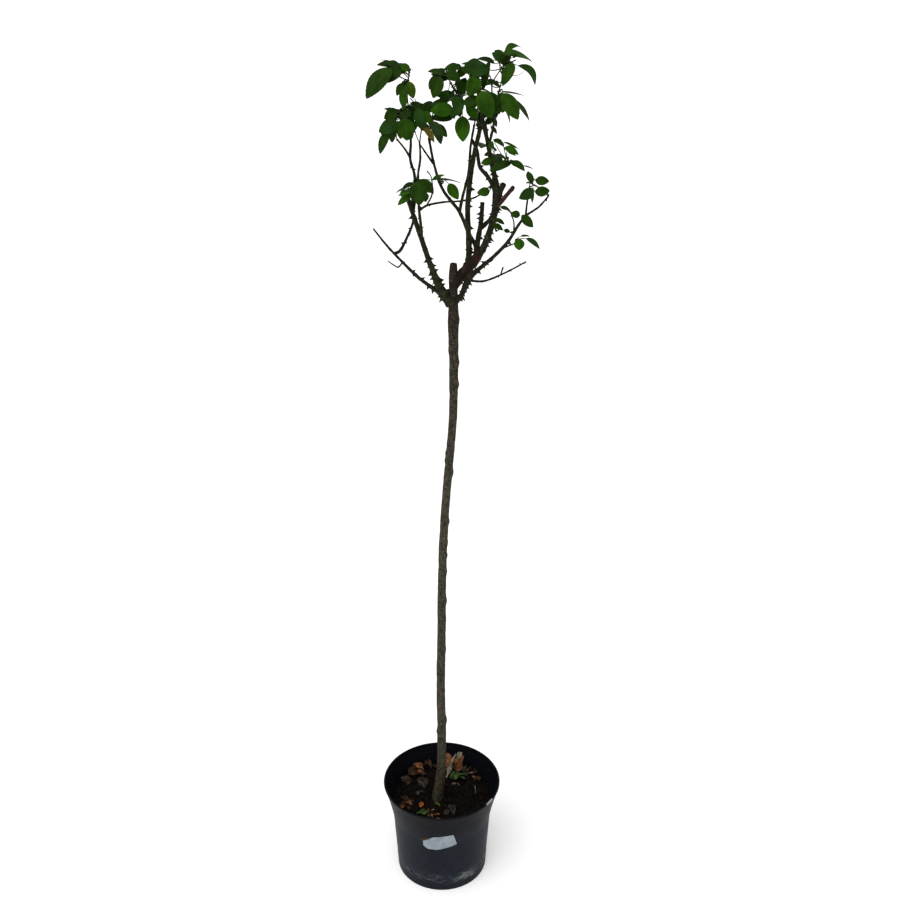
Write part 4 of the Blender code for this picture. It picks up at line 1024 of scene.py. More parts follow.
def fitted(item, slot, *nodes):
    """Rides on the one body and stands for its nodes, which it hides; the slot is not used."""
    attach(item, "root")
    if nodes:
        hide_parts(*nodes)
    return item


def plain(item):
    """The evaluated object as a plain mesh object of the same name."""
    depsgraph = bpy.context.evaluated_depsgraph_get()
    mesh = bpy.data.meshes.new_from_object(item.evaluated_get(depsgraph))
    name = item.name
    bpy.data.objects.remove(item, do_unlink=True)
    mesh.name = name
    return linked(name, mesh)


def grain(point, size, stretch=1.0, seed=0.0, octaves=3):
    """Fractal noise, about -1 to 1, with lumps of a size across and drawn out along Z."""
    place = Vector((point.x / size + seed, point.y / size, point.z / (size * stretch)))
    return noise.fractal(place, 0.8, 2.1, octaves)


def hump(offset, width):
    return math.exp(-(offset / width) ** 2)


def angle_apart(first, second):
    return abs((first - second + math.pi) % (2 * math.pi) - math.pi)


def turned(profile, sides):
    """A closed solid turned about Z from a profile of radius and height, axis to axis."""
    points = []
    faces = []
    rings = []
    for radius, height in profile:
        if radius == 0:
            rings.append([len(points)] * sides)
            points.append(Vector((0, 0, height)))
            continue
        rings.append(list(range(len(points), len(points) + sides)))
        for corner in range(sides):
            turn = 2 * math.pi * corner / sides
            points.append(Vector((radius * math.cos(turn), radius * math.sin(turn), height)))
    for low, high in zip(rings, rings[1:]):
        for corner in range(sides):
            following = (corner + 1) % sides
            quad = (low[corner], low[following], high[following], high[corner])
            faces.append(tuple(dict.fromkeys(quad)))
    return points, faces


def dome(route, radii, depth, steps=ROUND_TIP_STEPS):
    """Adds a rounded end, as deep as a share of its radius, to a route and its radii."""
    tip = route[-1]
    direction = (route[-1] - route[-2]).normalized()
    radius = radii[-1]
    for step in range(1, steps + 1):
        angle = step / (steps + 0.4) * math.pi / 2
        route.append(tip + direction * radius * depth * math.sin(angle))
        radii.append(radius * math.cos(angle))


def round_both_ends(route, radii, root_depth, tip_depth):
    """Copies of a route and its radii with a rounded root and tip."""
    route, radii = list(route), list(radii)
    dome(route, radii, tip_depth)
    route.reverse()
    radii.reverse()
    dome(route, radii, root_depth)
    return route[::-1], radii[::-1]


# ---------------------------------------------------------------- trunk and canes
# Knots on the trunk: height in mm, turn in degrees from the front towards the right, how far
# they stand out and how long they are in mm.
KNOTS = [(1047.7, 80, 1.6, 6), (981.2, 85, 2.0, 7), (945.5, 80, 1.8, 6), (794.6, 85, 1.8, 7),
         (707.0, 80, 1.6, 6), (668.3, 95, 1.2, 5), (644.1, 80, 1.4, 5), (613.9, 85, 1.5, 6),
         (560.0, 80, 1.8, 6), (464.8, 90, 1.4, 6), (314.3, 80, 1.9, 8), (829.4, 280, 1.5, 5),
         (817.3, 265, 1.2, 5), (290.5, 280, 1.6, 6), (894.0, 190, 1.5, 6), (752.0, 170, 1.6, 6),
         (530.0, 200, 1.5, 6), (380.0, 150, 1.7, 7), (230.0, 185, 1.6, 7), (1000.0, 250, 1.2, 5)]

# Where the graft union bulges: by how much, at what height and over what length, in mm.
UNION = ((1.2, 1052, 42), (0.8, 1110, 13))

# How far the bark stands out in metres, and the height in mm below which the root flare is full.
BARK_THICKNESS = 0.00035
FLARE_HEIGHT = 134

# Cut scars with a raised lip: height in mm, turn in degrees, radius of the lip in mm.
SCARS = [(741.2, 15, 3.0), (408.1, 20, 3.2), (256.6, 5, 3.0), (178.3, -5, 2.2)]


def trunk_relief(point, _, turn, radius):
    """Fine fissures along the stem, lumps, knots, cut scars and the lobes of the root flare."""
    height = point.z / MM
    fissures = grain(point, 0.0024, stretch=9, seed=3.0) * 0.00030
    lumps = grain(point, 0.011, stretch=2.2, seed=9.0) * 0.00055
    cracks = max(0.0, grain(point, 0.0030, stretch=12, seed=21.0) - 0.18) * 0.0009
    raised = fissures + lumps - cracks
    for knot_height, degrees, depth, length in KNOTS:
        if abs(height - knot_height) < 3 * length:
            apart = angle_apart(turn, math.radians(degrees))
            raised += depth * MM * hump(height - knot_height, length) * hump(apart, 0.55)
    for scar_height, degrees, size in SCARS:
        if abs(height - scar_height) < 3 * size:
            sideways = angle_apart(turn, math.radians(degrees)) * radius / MM
            away = math.hypot(sideways, (height - scar_height) * 0.8)
            raised += (1.0 * hump(away - size, 1.0) - 0.7 * hump(away, size * 0.7)) * MM
    raised += BARK_THICKNESS
    for amount, middle, length in UNION:
        raised += amount * MM * hump(height - middle, length)
    flare = hump(max(0.0, height - FLARE_HEIGHT), 24)
    return raised + flare * radius * 0.16 * math.cos(3 * turn + 0.8)


def make_trunk():
    """The stem from just under the compost to the sawn stub above the graft."""
    route, radii = trunk_limb(BARK_STEP)
    low = [route[0] - UP * BARK_STEP * step for step in (3, 2, 1)]
    route, radii = low + route, [radii[0]] * len(low) + radii
    dome(route, radii, STUB_TIP, STUB_STEPS)
    points, _, faces = limb_surface(route, radii, BARK_SIDES, trunk_relief)
    trunk = Shape()
    trunk.add(points, faces)
    fitted(trunk.made("trunk_bark", trunk_finish()), "old_bark", "trunk")


# Limbs that end in a cut; and how thickly prickles stand near the root and higher up on those
# limbs that have them.
SAWN = ("pruned_cane", "cut_shoot", "right_cane")
PRICKLY = {"left_cane": (1.0, 0.35), "right_cane": (0.6, 0.6), "centre_cane": (0.6, 0.35),
           "right_outer_cane": (1.0, 0.7), "right_top_cane": (0.7, 0.4),
           "crossing_cane": (0.6, 0.4), "pruned_cane": (0.7, 1.0), "low_left_cane": (1.0, 0.7),
           "left_top_cane": (0.6, 0.3), "left_inner_cane": (0.5, 0.25),
           "back_left_cane": (0.4, 0.3), "back_right_cane": (0.4, 0.3),
           "centre_inner_cane": (0.4, 0.3), "right_low_twig": (0.9, 0.7),
           "low_left_riser": (0.5, 0.4), "cross_twig": (0.2, 0.2), "cut_shoot": (0.2, 0.2)}
PRICKLY_ROOT = 0.060
PRICKLY_FROM = 0.016
CANE_BARK_THICKNESS = 0.0002

# How green limbs are that aren't of the plain tone; and where limbs swell: by how much, how far
# along them and over what length, in mm.
PLAIN_TONE = 0.3
TONES = {"centre_cane": 0.9, "back_left_cane": 0.9, "centre_inner_cane": 0.8, "left_cane": 0.6,
         "left_inner_cane": 0.8, "right_top_cane": 0.5, "cross_twig": 0.6, "left_top_cane": 0.5,
         "right_cane": 0.1, "pruned_cane": 0.0, "right_outer_cane": 0.1, "low_left_cane": 0.2,
         "cut_shoot": 0.0, "right_arm": 0.0}
SWELLINGS = {"left_cane": ((1.1, 0, 34), (0.9, 24, 30)), "low_left_cane": ((0.4, 0, 30),),
             "right_outer_cane": ((-0.5, 8, 16), (1.2, 46, 13), (0.5, 66, 10)),
             "centre_cane": ((0.6, 0, 24),),
             "right_cane": ((0.8, 0, 26), (0.7, 96, 12)), "pruned_cane": ((0.6, 20, 46),),
             "right_arm": ((-3.6, 0, 9), (-1.0, 14, 8), (1.4, 32, 8), (1.4, 48, 10))}


def cane_relief(chance, radius_at_root, rough, swellings):
    """Lumpy bark, swollen in places, with a ring scar and a bud at each of its nodes."""
    first = chance.uniform(0.010, 0.022)
    spacing = chance.uniform(0.022, 0.030)
    start = chance.uniform(0, 6.28)

    def relief(point, distance, turn, radius):
        lumps = grain(point, 0.005, stretch=2, seed=5.0) * 0.00022 * rough
        threads = grain(point, 0.0016, stretch=4, seed=11.0, octaves=2) * 0.00008 * rough
        raised = (lumps + threads) * (1 - 0.8 * hump(distance, 0.009))
        for amount, middle, length in swellings:
            raised += amount * MM * hump(distance / MM - middle, length)
        number = round((distance - first) / spacing)
        offset = distance - first - number * spacing
        if number >= 0 and abs(offset) < 0.008:
            bud_turn = (start + number * 2.4) % (2 * math.pi)
            raised += radius * 0.10 * hump(offset, 0.0014)
            apart = angle_apart(turn, bud_turn)
            raised += radius * 0.34 * hump(offset - 0.0016, 0.0020) * hump(apart, 0.42)
        slim = min(1.0, radius / (0.4 * radius_at_root))
        return raised * slim + CANE_BARK_THICKNESS * (1 + slim)

    return relief


def prickliness(name, distance, chance):
    """How thickly prickles stand at a distance along a limb: they come in clumps."""
    if distance < PRICKLY_FROM:
        return 0.0
    near, far = PRICKLY.get(name, (0.0, 0.0))
    share = hump(distance, PRICKLY_ROOT)
    return (far + (near - far) * share) * chance.choice((0.2, 0.7, 1.0, 1.0))


def make_canes():
    """Every limb but the trunk; returns the surface that prickles stand on."""
    canes, arm, cut = Shape(), Shape(), Shape()
    for name, size in LIMBS.items():
        chance = random.Random(name)
        route, radii = limb(size, CANE_STEP)
        tip_depth = SAWN_TIP if name in SAWN else ROUND_TIP
        route, radii = round_both_ends(route, radii, ROUND_ROOT, tip_depth)
        sides = ARM_SIDES if name == "right_arm" else 10 + round(size[1] * 0.8)
        rough = 4.5 if name == "right_arm" else 1.2
        relief = cane_relief(chance, size[1] * MM / 2, rough, SWELLINGS.get(name, ()))
        points, ways, faces = limb_surface(route, radii, sides, relief)
        shape = {"right_arm": arm, "cut_shoot": cut}.get(name, canes)
        crowding = []
        for distance in travelled(route):
            crowding += [prickliness(name, distance, chance)] * sides
        shape.add(points, faces, along=ways, crowding=crowding,
                  tone=[TONES.get(name, PLAIN_TONE)] * len(points),
                  stature=[min(1.0, 0.35 + size[1] / 11)] * len(points))
    green = cane_finish("green_bark", rgb(31, 28, 18), rgb(34, 32, 20), rgb(66, 62, 46),
                        patch=((0.060, -0.006, 1.143), 0.010, rgb(56, 26, 12)))
    wood = cane_finish("arm_bark", rgb(34, 25, 18), rgb(36, 28, 20), rgb(62, 48, 36),
                       patch=((0.056, -0.006, 1.143), 0.013, rgb(58, 26, 12)))
    maroon = cane_finish("cut_shoot_bark", rgb(58, 34, 33), rgb(58, 34, 33), rgb(92, 66, 60))
    others = [name for name in LIMBS if name not in ("right_arm", "cut_shoot")]
    body = fitted(canes.made("cane_bark", green), "green_bark", *others)
    fitted(arm.made("arm_bark", wood), "old_bark", "right_arm")
    fitted(cut.made("cut_shoot_bark", maroon), "green_bark", "cut_shoot")
    return body


# ---------------------------------------------------------------- scattered small things
def scatter_tree():
    """Copies of a shape stood on a surface where it is crowded, leaning along its grain."""
    group = bpy.data.node_groups.new("scatter", "GeometryNodeTree")
    sockets = {}
    for name, kind in (("Surface", "Geometry"), ("Shape", "Object"), ("Spacing", "Float"),
                       ("Smallest", "Float"), ("Largest", "Float"), ("Seed", "Int"),
                       ("Material", "Material")):
        made = group.interface.new_socket(name, in_out="INPUT", socket_type="NodeSocket" + kind)
        sockets[name] = made.identifier
    group.interface.new_socket("Scattered", in_out="OUTPUT", socket_type="NodeSocketGeometry")
    tree = Tree(group)
    given = group.nodes.new("NodeGroupInput")
    inputs = {name: Link(tree, given.outputs[name]) for name in sockets}

    def attribute(name, kind):
        settings = {"data_type": kind}
        return tree.node("GeometryNodeInputNamedAttribute", settings, {"Name": name})

    spread = tree.node("GeometryNodeDistributePointsOnFaces", {"distribute_method": "POISSON"}, {
        "Mesh": inputs["Surface"], "Distance Min": inputs["Spacing"], "Density Max": 2e6,
        "Density Factor": attribute("crowding", "FLOAT"), "Seed": inputs["Seed"]})
    upright = Link(tree, spread.socket.node.outputs["Rotation"])
    lean = tree.node("FunctionNodeAlignRotationToVector", {"axis": "X", "pivot_axis": "Z"}, {
        "Rotation": upright, "Vector": attribute("along", "FLOAT_VECTOR")})
    size = tree.node("FunctionNodeRandomValue", {"data_type": "FLOAT"}, {
        2: inputs["Smallest"], 3: inputs["Largest"], "Seed": inputs["Seed"]}, 1)
    scale = size * attribute("stature", "FLOAT")
    pattern = tree.node("GeometryNodeObjectInfo", values={"Object": inputs["Shape"]},
                        output="Geometry")
    copies = tree.node("GeometryNodeInstanceOnPoints", values={
        "Points": spread, "Instance": pattern, "Rotation": lean, "Scale": scale})
    whole = tree.node("GeometryNodeRealizeInstances", values={"Geometry": copies})
    painted = tree.node("GeometryNodeSetMaterial", values={
        "Geometry": whole, "Material": inputs["Material"]})
    end = group.nodes.new("NodeGroupOutput")
    group.links.new(painted.socket, end.inputs[0])
    return group, sockets


def scattered(name, surface, scatter, shape, material, spacing, smallest, largest, seed):
    """The copies of a shape on a surface, as one plain mesh."""
    group, sockets = scatter
    item = linked(name, surface.data.copy())
    pattern = shape.made(name + "_one", material)
    modifier = item.modifiers.new("scatter", "NODES")
    modifier.node_group = group
    values = {"Shape": pattern, "Spacing": spacing, "Smallest": smallest, "Largest": largest,
              "Seed": seed, "Material": material}
    for key, value in values.items():
        modifier[sockets[key]] = value
    made = plain(item)
    bpy.data.objects.remove(pattern, do_unlink=True)
    made.data.shade_smooth()
    return made


def prickle_shape():
    """A broad-based prickle one unit long that leans back down its cane."""
    shape = Shape()
    rings = [(-0.10, 0.0, 0.56, 0.28), (0.16, -0.05, 0.35, 0.19), (0.52, -0.15, 0.16, 0.10)]
    points = []
    for height, centre, reach, half in rings:
        for corner in range(8):
            turn = 2 * math.pi * corner / 8
            points.append((centre + reach * math.cos(turn), half * math.sin(turn), height))
    points.append((-0.36, 0, 1.0))
    faces = tube_faces(3, 8)[:-1]
    faces += [(16 + corner, 16 + (corner + 1) % 8, 24) for corner in range(8)]
    shape.add(points, faces)
    return shape


def crumb_shape(seed, stretch=(1, 1, 0.8)):
    """A rough lump one unit across."""
    ball = bmesh.new()
    bmesh.ops.create_icosphere(ball, subdivisions=1, radius=0.5)
    shape = Shape()
    points = []
    for vert in ball.verts:
        rough = 1 + 0.45 * noise.noise(vert.co * 2.2 + Vector((seed, 0, 0)))
        points.append(Vector(part * size for part, size in zip(vert.co * rough, stretch)))
    shape.add(points, [tuple(vert.index for vert in face.verts) for face in ball.faces])
    ball.free()
    return shape


# ---------------------------------------------------------------- leaves
# A leaflet's teeth on a side, its side veins, and its outline: t ** 0.62 * (1 - t) ** 0.85, whose
# greatest value is where t, the share of its length, is 0.4218.
TEETH = 11
VEINS = 7
BLADE_PEAK = 0.4218 ** 0.62 * 0.5782 ** 0.85

# Its eight points a row: how far each lies to the side, and how many thicknesses below.  Teeth
# stand out and in by shares of its half width, and lean forward and quilt it by shares of its
# length.  LEAF_THICKNESS is the least thickness.
BLADE_CORNERS = ((-1.0, 0.0), (-0.5, 0.0), (0.0, 0.0), (0.5, 0.0),
                 (1.0, 0.0), (0.5, 1.0), (0.0, 1.6), (-0.5, 1.0))
TOOTH_OUT = 0.016
TOOTH_IN = -0.012
TOOTH_FORWARD = 0.010
QUILTING = 0.013
LEAF_THICKNESS = 0.00035

# Stems, stalks and twigs: how far their roots sink in and swell, and how they taper.
STEM_SINK = 0.003
STEM_SWELL = 0.014
STALK_SINK = 0.0006
STALK_SWELL = 0.0025
STALK_WIDE = 0.00085
STALK_SLIM = 0.00050
TWIG_TAPER = 0.4
STIPULE_WIDTH = 0.0024


def blade_section(row, profile, length, half, bend, margin):
    """A row's eight points, over the leaflet and back under it: how far out, up and forward."""
    toothed = row % 2
    reach = LEAFLET_STALK_HALF
    if row:
        tooth = 0.0 if row == 1 else (TOOTH_OUT if toothed else TOOTH_IN)
        reach = max(reach, half * profile * (1 + tooth))
    quilt = length * QUILTING * profile * (1 if toothed else -1)
    thickness = max(LEAF_THICKNESS, length * 0.011)
    section = []
    for u, depth in BLADE_CORNERS:
        lift = reach * abs(u) * math.sin(bend) - reach * 0.20 * u * u * math.sin(2 * bend)
        if abs(u) == 0.5:
            lift += quilt
        if abs(u) == 1.0:
            lift += margin * (1 if u > 0 else -0.7)
        forward = length * TOOTH_FORWARD * abs(u) if toothed else 0.0
        section.append((reach * u * math.cos(bend), lift - thickness * depth, forward))
    return section


def blade(root, heading, normal, length, half, form, chance):
    """A toothed leaflet: a thin closed sheet of eight points a row, from its stalk to its tip.

    Its marks are how far each point lies to the side and along it, and its length.
    """
    across = heading.cross(normal).normalized()
    fold, bow, curl, twist, wave = form
    phase = chance.uniform(0, 6.28)
    points = []
    marks = []
    creases = []
    rows = 2 * TEETH + 1
    for row in range(rows):
        t = 0.0 if row == 0 else 0.045 + 0.935 * (row - 1) / (rows - 2)
        profile = t ** 0.62 * (1 - t) ** 0.85 / BLADE_PEAK
        centre = root + heading * length * t + normal * length * (
            bow * 4 * t * (1 - t) - curl * t ** 3)
        roll = twist * (t - 0.4)
        side = across * math.cos(roll) + normal * math.sin(roll)
        up = normal * math.cos(roll) - across * math.sin(roll)
        margin = length * wave * profile * math.sin(phase + 9 * t)
        bend = fold * (0.55 + 0.45 * (1 - t))
        for out, lift, forward in blade_section(row, profile, length, half, bend, margin):
            points.append(centre + side * out + up * lift + heading * forward)
        marks += [(u, t, length) for u, _ in BLADE_CORNERS]
        if row:
            creases += [(row * 8 - 8, row * 8), (row * 8 - 4, row * 8 + 4)]
    points.append(root + heading * length - normal * length * curl)
    marks.append((0.0, 1.0, length))
    faces = tube_faces(rows, 8)[:-1]
    last = (rows - 1) * 8
    faces += [(last + corner, last + (corner + 1) % 8, last + 8) for corner in range(8)]
    creases += [(last, last + 8), (last + 4, last + 8)]
    return points, faces, marks, creases


def leaf_form(chance, bow):
    """How a leaflet folds, bows, curls, twists and waves."""
    return (math.radians(chance.uniform(6, 20)), bow + chance.uniform(-0.02, 0.02),
            chance.uniform(-0.03, 0.06), chance.uniform(-0.30, 0.30), chance.uniform(0.0, 0.020))


# The leaves' hues, and which of them each mass's leaves take.
HUES = {
    "deep": rgb(22, 42, 7),
    "mid": rgb(30, 54, 9),
    "grass": rgb(35, 64, 8),
    "bright": rgb(41, 78, 8),
    "yellow": rgb(54, 78, 11),
    "olive": rgb(84, 76, 24),
    "blue": rgb(31, 57, 16),
    "slate": rgb(36, 55, 24),
}
MASS_HUES = {
    "top_left_leaves": "mid mid deep mid grass",
    "left_leaves": "mid grass deep mid",
    "mid_left_leaves": "grass bright mid grass",
    "inner_left_leaves": "deep mid deep",
    "back_left_leaves": "deep mid",
    "top_centre_leaves": "mid blue grass mid",
    "top_back_leaves": "mid deep",
    "top_front_leaves": "blue bright grass mid",
    "top_right_leaves": "mid grass blue mid deep",
    "upper_right_leaves": "grass mid bright",
    "right_leaves": "grass mid yellow grass",
    "right_tip_leaves": "mid",
    "right_stalk_leaves": "grass mid",
    "right_low_leaves": "grass mid yellow",
    "right_inner_leaves": "mid",
    "low_left_leaves": "mid deep grass",
    "low_back_leaves": "deep mid",
    "middle_leaves": "grass yellow mid",
    "cross_twig_leaves": "grass mid",
    "back_right_leaves": "deep mid grass",
}


# Single leaves that have a hue of their own: x and z of the leaf's middle in mm, by hue.
HUE_SPOTS = {
    "mid": [(-86, 1390), (-63, 1398), (-72, 1410), (-52, 1381), (-66, 1350), (-75, 1312),
            (-1, 1385), (75, 1366), (44, 1406), (108, 1357), (85, 1282), (82, 1313), (140, 1267),
            (-28, 1247), (-19, 1253)],
    "yellow": [(-38, 1380)],
    "grass": [(-46, 1371), (-45, 1333), (63, 1366), (91, 1363), (90, 1403), (116, 1400), (97, 1430),
              (107, 1283), (141, 1252)],
    "blue": [(-70, 1335), (-25, 1341), (58, 1407), (79, 1424), (119, 1250), (132, 1177)],
    "slate": [(-8, 1326)],
    "olive": [(-15, 1321)],
    "bright": [(33, 1329), (3, 1354), (108, 1422), (99, 1303), (-48, 1237), (18, 1235), (112, 1176)],
    "deep": [(5, 1342)],
}
SPOT_REACH = 9


def leaf_hue(mass, leaf, chance):
    """The hue of the nearest spot, or one of its mass's hues where no spot is near."""
    if isinstance(leaf, Blade):
        middle = (Vector(leaf.base) + Vector(leaf.tip)) / 2
        reach, hue = min((math.hypot(middle.x - x, middle.z - z), hue)
                         for hue, spots in HUE_SPOTS.items() for x, z in spots)
        if reach < SPOT_REACH:
            return hue
    choices = MASS_HUES[mass].split()
    return choices[chance.randrange(len(choices))]


def add_wood(shape, points, radius_at, sides, root_depth=ROUND_ROOT, tip_depth=1.4):
    """Adds round-ended wood along a smooth route through points in mm, and gives the route."""
    route = smooth_route(points, LEAF_WOOD_STEP)
    distances = travelled(route)
    radii = [radius_at(distance, distance / distances[-1]) for distance in distances]
    shape.add(*tube(*round_both_ends(route, radii, root_depth, tip_depth), sides))
    return route


def in_mm(points):
    """Points in metres as the millimetres that routes are given in."""
    return [tuple(point / MM) for point in points]


def add_stems(stems, wood):
    """The stem of each mass, wider where it leaves its bough, and the bare twigs."""
    for route, radii in stems.values():
        slim, swell = radii[1], max(0.0, radii[0] - radii[1])
        start = route[0] - (route[1] - route[0]).normalized() * STEM_SINK
        add_wood(wood, in_mm([start] + route[1:]), lambda distance, share: (
            slim * (1 - STEM_TAPER * share) + swell * math.exp(-distance / STEM_SWELL)), 10)
    for _, diameter, points in TWIGS:
        add_wood(wood, points, lambda _, share: diameter * MM / 2 * (1 - TWIG_TAPER * share), 8)


def stalk_radius(distance, share):
    plain_radius = STALK_WIDE + (STALK_SLIM - STALK_WIDE) * share
    return plain_radius + 0.0007 * math.exp(-distance / STALK_SWELL)


def stipules(root, first, chance):
    """The two small blades at the foot of a leaf's stalk."""
    for side in (-1, 1):
        out = first.cross(UP).normalized() * side
        size = chance.uniform(0.006, 0.009)
        heading = (first + out * 0.35).normalized()
        yield blade(root + first * 0.001, heading, squared(UP + out * 0.3, heading), size,
                    STIPULE_WIDTH / 2, (0.3, 0.05, 0.1, 0.0, 0.0), chance)


def make_leaves():
    """Every mass's stem, leaf stalks and leaflets; leaflets are sorted by hue."""
    grown, stems = grow_masses()
    stalks, stem_wood = Shape(), Shape()
    add_stems(stems, stem_wood)
    hues = {}
    masses = {}
    for count, (name, leaf, stalk, leaflets) in enumerate(grown):
        chance = random.Random(1000 + count)
        hue = leaf_hue(name, leaf, chance)
        foliage = hues.setdefault(hue, Shape())
        masses.setdefault(hue, {})[name] = True
        first = (stalk[1] - stalk[0]).normalized()
        points = in_mm([stalk[0] - first * STALK_SINK] + stalk[1:])
        route = add_wood(stalks, points, stalk_radius, 6, 0.6, 1.0)
        blades = list(stipules(stalk[0], first, chance))
        for place, heading, normal, length, half, bow in leaflets:
            near = min(route, key=lambda point: (point - place).length)
            root = mix(place, near, 0.8)
            real_half = half * chance.uniform(1.03, 1.12)
            form = leaf_form(chance, bow)
            blades.append(blade(root, heading, normal, length, real_half, form, chance))
        for points, faces, marks, creases in blades:
            foliage.add(points, faces, creases, blade=marks)
    for hue, shape in hues.items():
        item = shape.made(hue + "_leaves_cut", leaf_finish(hue, HUES[hue]))
        fitted(item, "leaf", *masses[hue])
    stalk_finish = cane_finish("leaf_stalk", rgb(46, 60, 20), rgb(42, 55, 20), rgb(70, 56, 30))
    fitted(stalks.made("leaf_stalks", stalk_finish), "leaf", *MASSES)
    stem_finish = cane_finish("leaf_stem", rgb(38, 42, 22), rgb(40, 44, 24), rgb(60, 60, 38))
    fitted(stem_wood.made("leaf_stems", stem_finish), "leaf", *MASSES)


# ---------------------------------------------------------------- pot and compost
# The pot's sizes, as in the part, and where its side is scuffed and its rim scratched.
WALL = 0.0020
FLOOR = 0.0025
COLLAR_FOOT = 0.110
BODY_TOP_RADIUS = 0.0880
FOOT_HEIGHT = 0.024
FOOT_RADIUS = 0.0825
BASE_RADIUS = 0.0815
BASE_RING = 0.008
BASE_HOLLOW = 0.0012
FOOT_RIDGE = 0.0238
LIP = 0.0030
DRAIN_HOLES = 6
DRAIN_TURN = math.radians(33.75)
DRAIN_CIRCLE = 0.0520
DRAIN_RADIUS = 0.0060
DRAIN_SIDES = 24
POT_SIDES = 160
SCUFF_PLACE = (0.046, -0.068, 0.022)
SCRATCH_PLACE = (0.0855, -0.0600, 0.1835)


def pot_radius(height):
    """The outer radius of the pot's side at a height."""
    if height < FOOT_HEIGHT:
        share = max(0.0, height - 0.002) / (FOOT_HEIGHT - 0.002)
        return BASE_RADIUS + (FOOT_RADIUS - BASE_RADIUS) * share ** 0.8
    if height < COLLAR_FOOT:
        share = (height - FOOT_HEIGHT) / (COLLAR_FOOT - FOOT_HEIGHT)
        return FOOT_RADIUS + (BODY_TOP_RADIUS - FOOT_RADIUS) * share
    share = (height - COLLAR_FOOT) / (POT_HEIGHT - LIP - COLLAR_FOOT)
    return BODY_TOP_RADIUS + (RIM_RADIUS - BODY_TOP_RADIUS - 0.001) * share ** 1.25


def pot_profile():
    """The shell's radii and heights: hollow underside, foot ridge, mould line and rolled lip."""
    lip_low = POT_HEIGHT - LIP
    heights = [0.0008, 0.002, 0.006, 0.012, 0.018, 0.0225, FOOT_RIDGE, 0.0252]
    heights += [0.030 + 0.008 * step for step in range(10)]
    heights += [COLLAR_FOOT + offset * MM for offset in (-1.5, -0.5, 0.5, 1.5)]
    heights += [0.116 + 0.0054 * step for step in range(12)] + [lip_low]
    side = []
    for height in heights:
        ridge = 0.00045 * hump(height - FOOT_RIDGE, 0.0009)
        mould_line = 0.00012 * hump(height - COLLAR_FOOT, 0.0012)
        side.append((pot_radius(height) + ridge + mould_line, height))
    lip = [(RIM_RADIUS - 0.0003, lip_low + 0.0004), (RIM_RADIUS, lip_low + 0.0009),
           (RIM_RADIUS, POT_HEIGHT - 0.0011), (RIM_RADIUS - 0.0004, POT_HEIGHT - 0.0004),
           (RIM_RADIUS - 0.0012, POT_HEIGHT), (RIM_RADIUS - 0.0024, POT_HEIGHT),
           (RIM_RADIUS - 0.0030, POT_HEIGHT - 0.0006)]
    inside = [(pot_radius(height) - WALL, height) for height in heights if height > FLOOR]
    profile = [(0, BASE_HOLLOW), (BASE_RADIUS - BASE_RING - 0.002, BASE_HOLLOW),
               (BASE_RADIUS - BASE_RING, 0.0), (BASE_RADIUS - 0.001, 0.0)]
    profile += side + lip + inside[::-1]
    return profile + [(inside[0][0] - 0.001, FLOOR), (0, FLOOR)]


def make_pot():
    """The turned shell, with its drain holes cut through."""
    shell = Shape()
    shell.add(*turned(pot_profile(), POT_SIDES))
    finish = plastic_finish()
    pot = shell.made("pot_shell", finish)
    drills = Shape()
    for hole in range(DRAIN_HOLES):
        turn = DRAIN_TURN + 2 * math.pi * hole / DRAIN_HOLES
        centre = Vector((math.cos(turn), math.sin(turn), 0)) * DRAIN_CIRCLE
        through = [centre - UP * 0.004, centre + UP * 0.008]
        drills.add(*tube(through, [DRAIN_RADIUS] * 2, DRAIN_SIDES))
    cutter = drills.made("drills", finish)
    cut = pot.modifiers.new("holes", "BOOLEAN")
    cut.operation = "DIFFERENCE"
    cut.object = cutter
    cut.solver = "EXACT"
    pot = plain(pot)
    bpy.data.objects.remove(cutter, do_unlink=True)
    pot.data.set_sharp_from_angle(angle=math.radians(35))
    fitted(pot, "pot_plastic", "pot")


# The compost's mound at the back, the ease of its edge against the pot, and its mesh.
MOUND = 0.0130
MOUND_FOOT = -0.020
MOUND_RUN = 0.080
EDGE_DROP = 0.004
SOIL_EASE = 0.0004
BED_RINGS = 76
BED_SIDES = 200


def soil_height(x, y):
    """The compost's surface, with lumps, hollows and a little more of it at the back."""
    radius = math.hypot(x, y)
    level = SOIL_LEVEL - EDGE_DROP * max(0.0, radius - 0.035) / (SOIL_RADIUS - 0.035)
    place = Vector((x, y, 0))
    rough = grain(place, 0.026, seed=4.0) * 0.0022 + grain(place, 0.007, seed=8.0) * 0.0014
    rough += grain(place, 0.0022, seed=2.0, octaves=2) * 0.0005
    share = max(0.0, min(1.0, (y - MOUND_FOOT) / MOUND_RUN))
    level += MOUND * share * share * (3 - 2 * share)
    return level - 0.0008 + rough * min(1.0, (SOIL_RADIUS - radius) / 0.004)


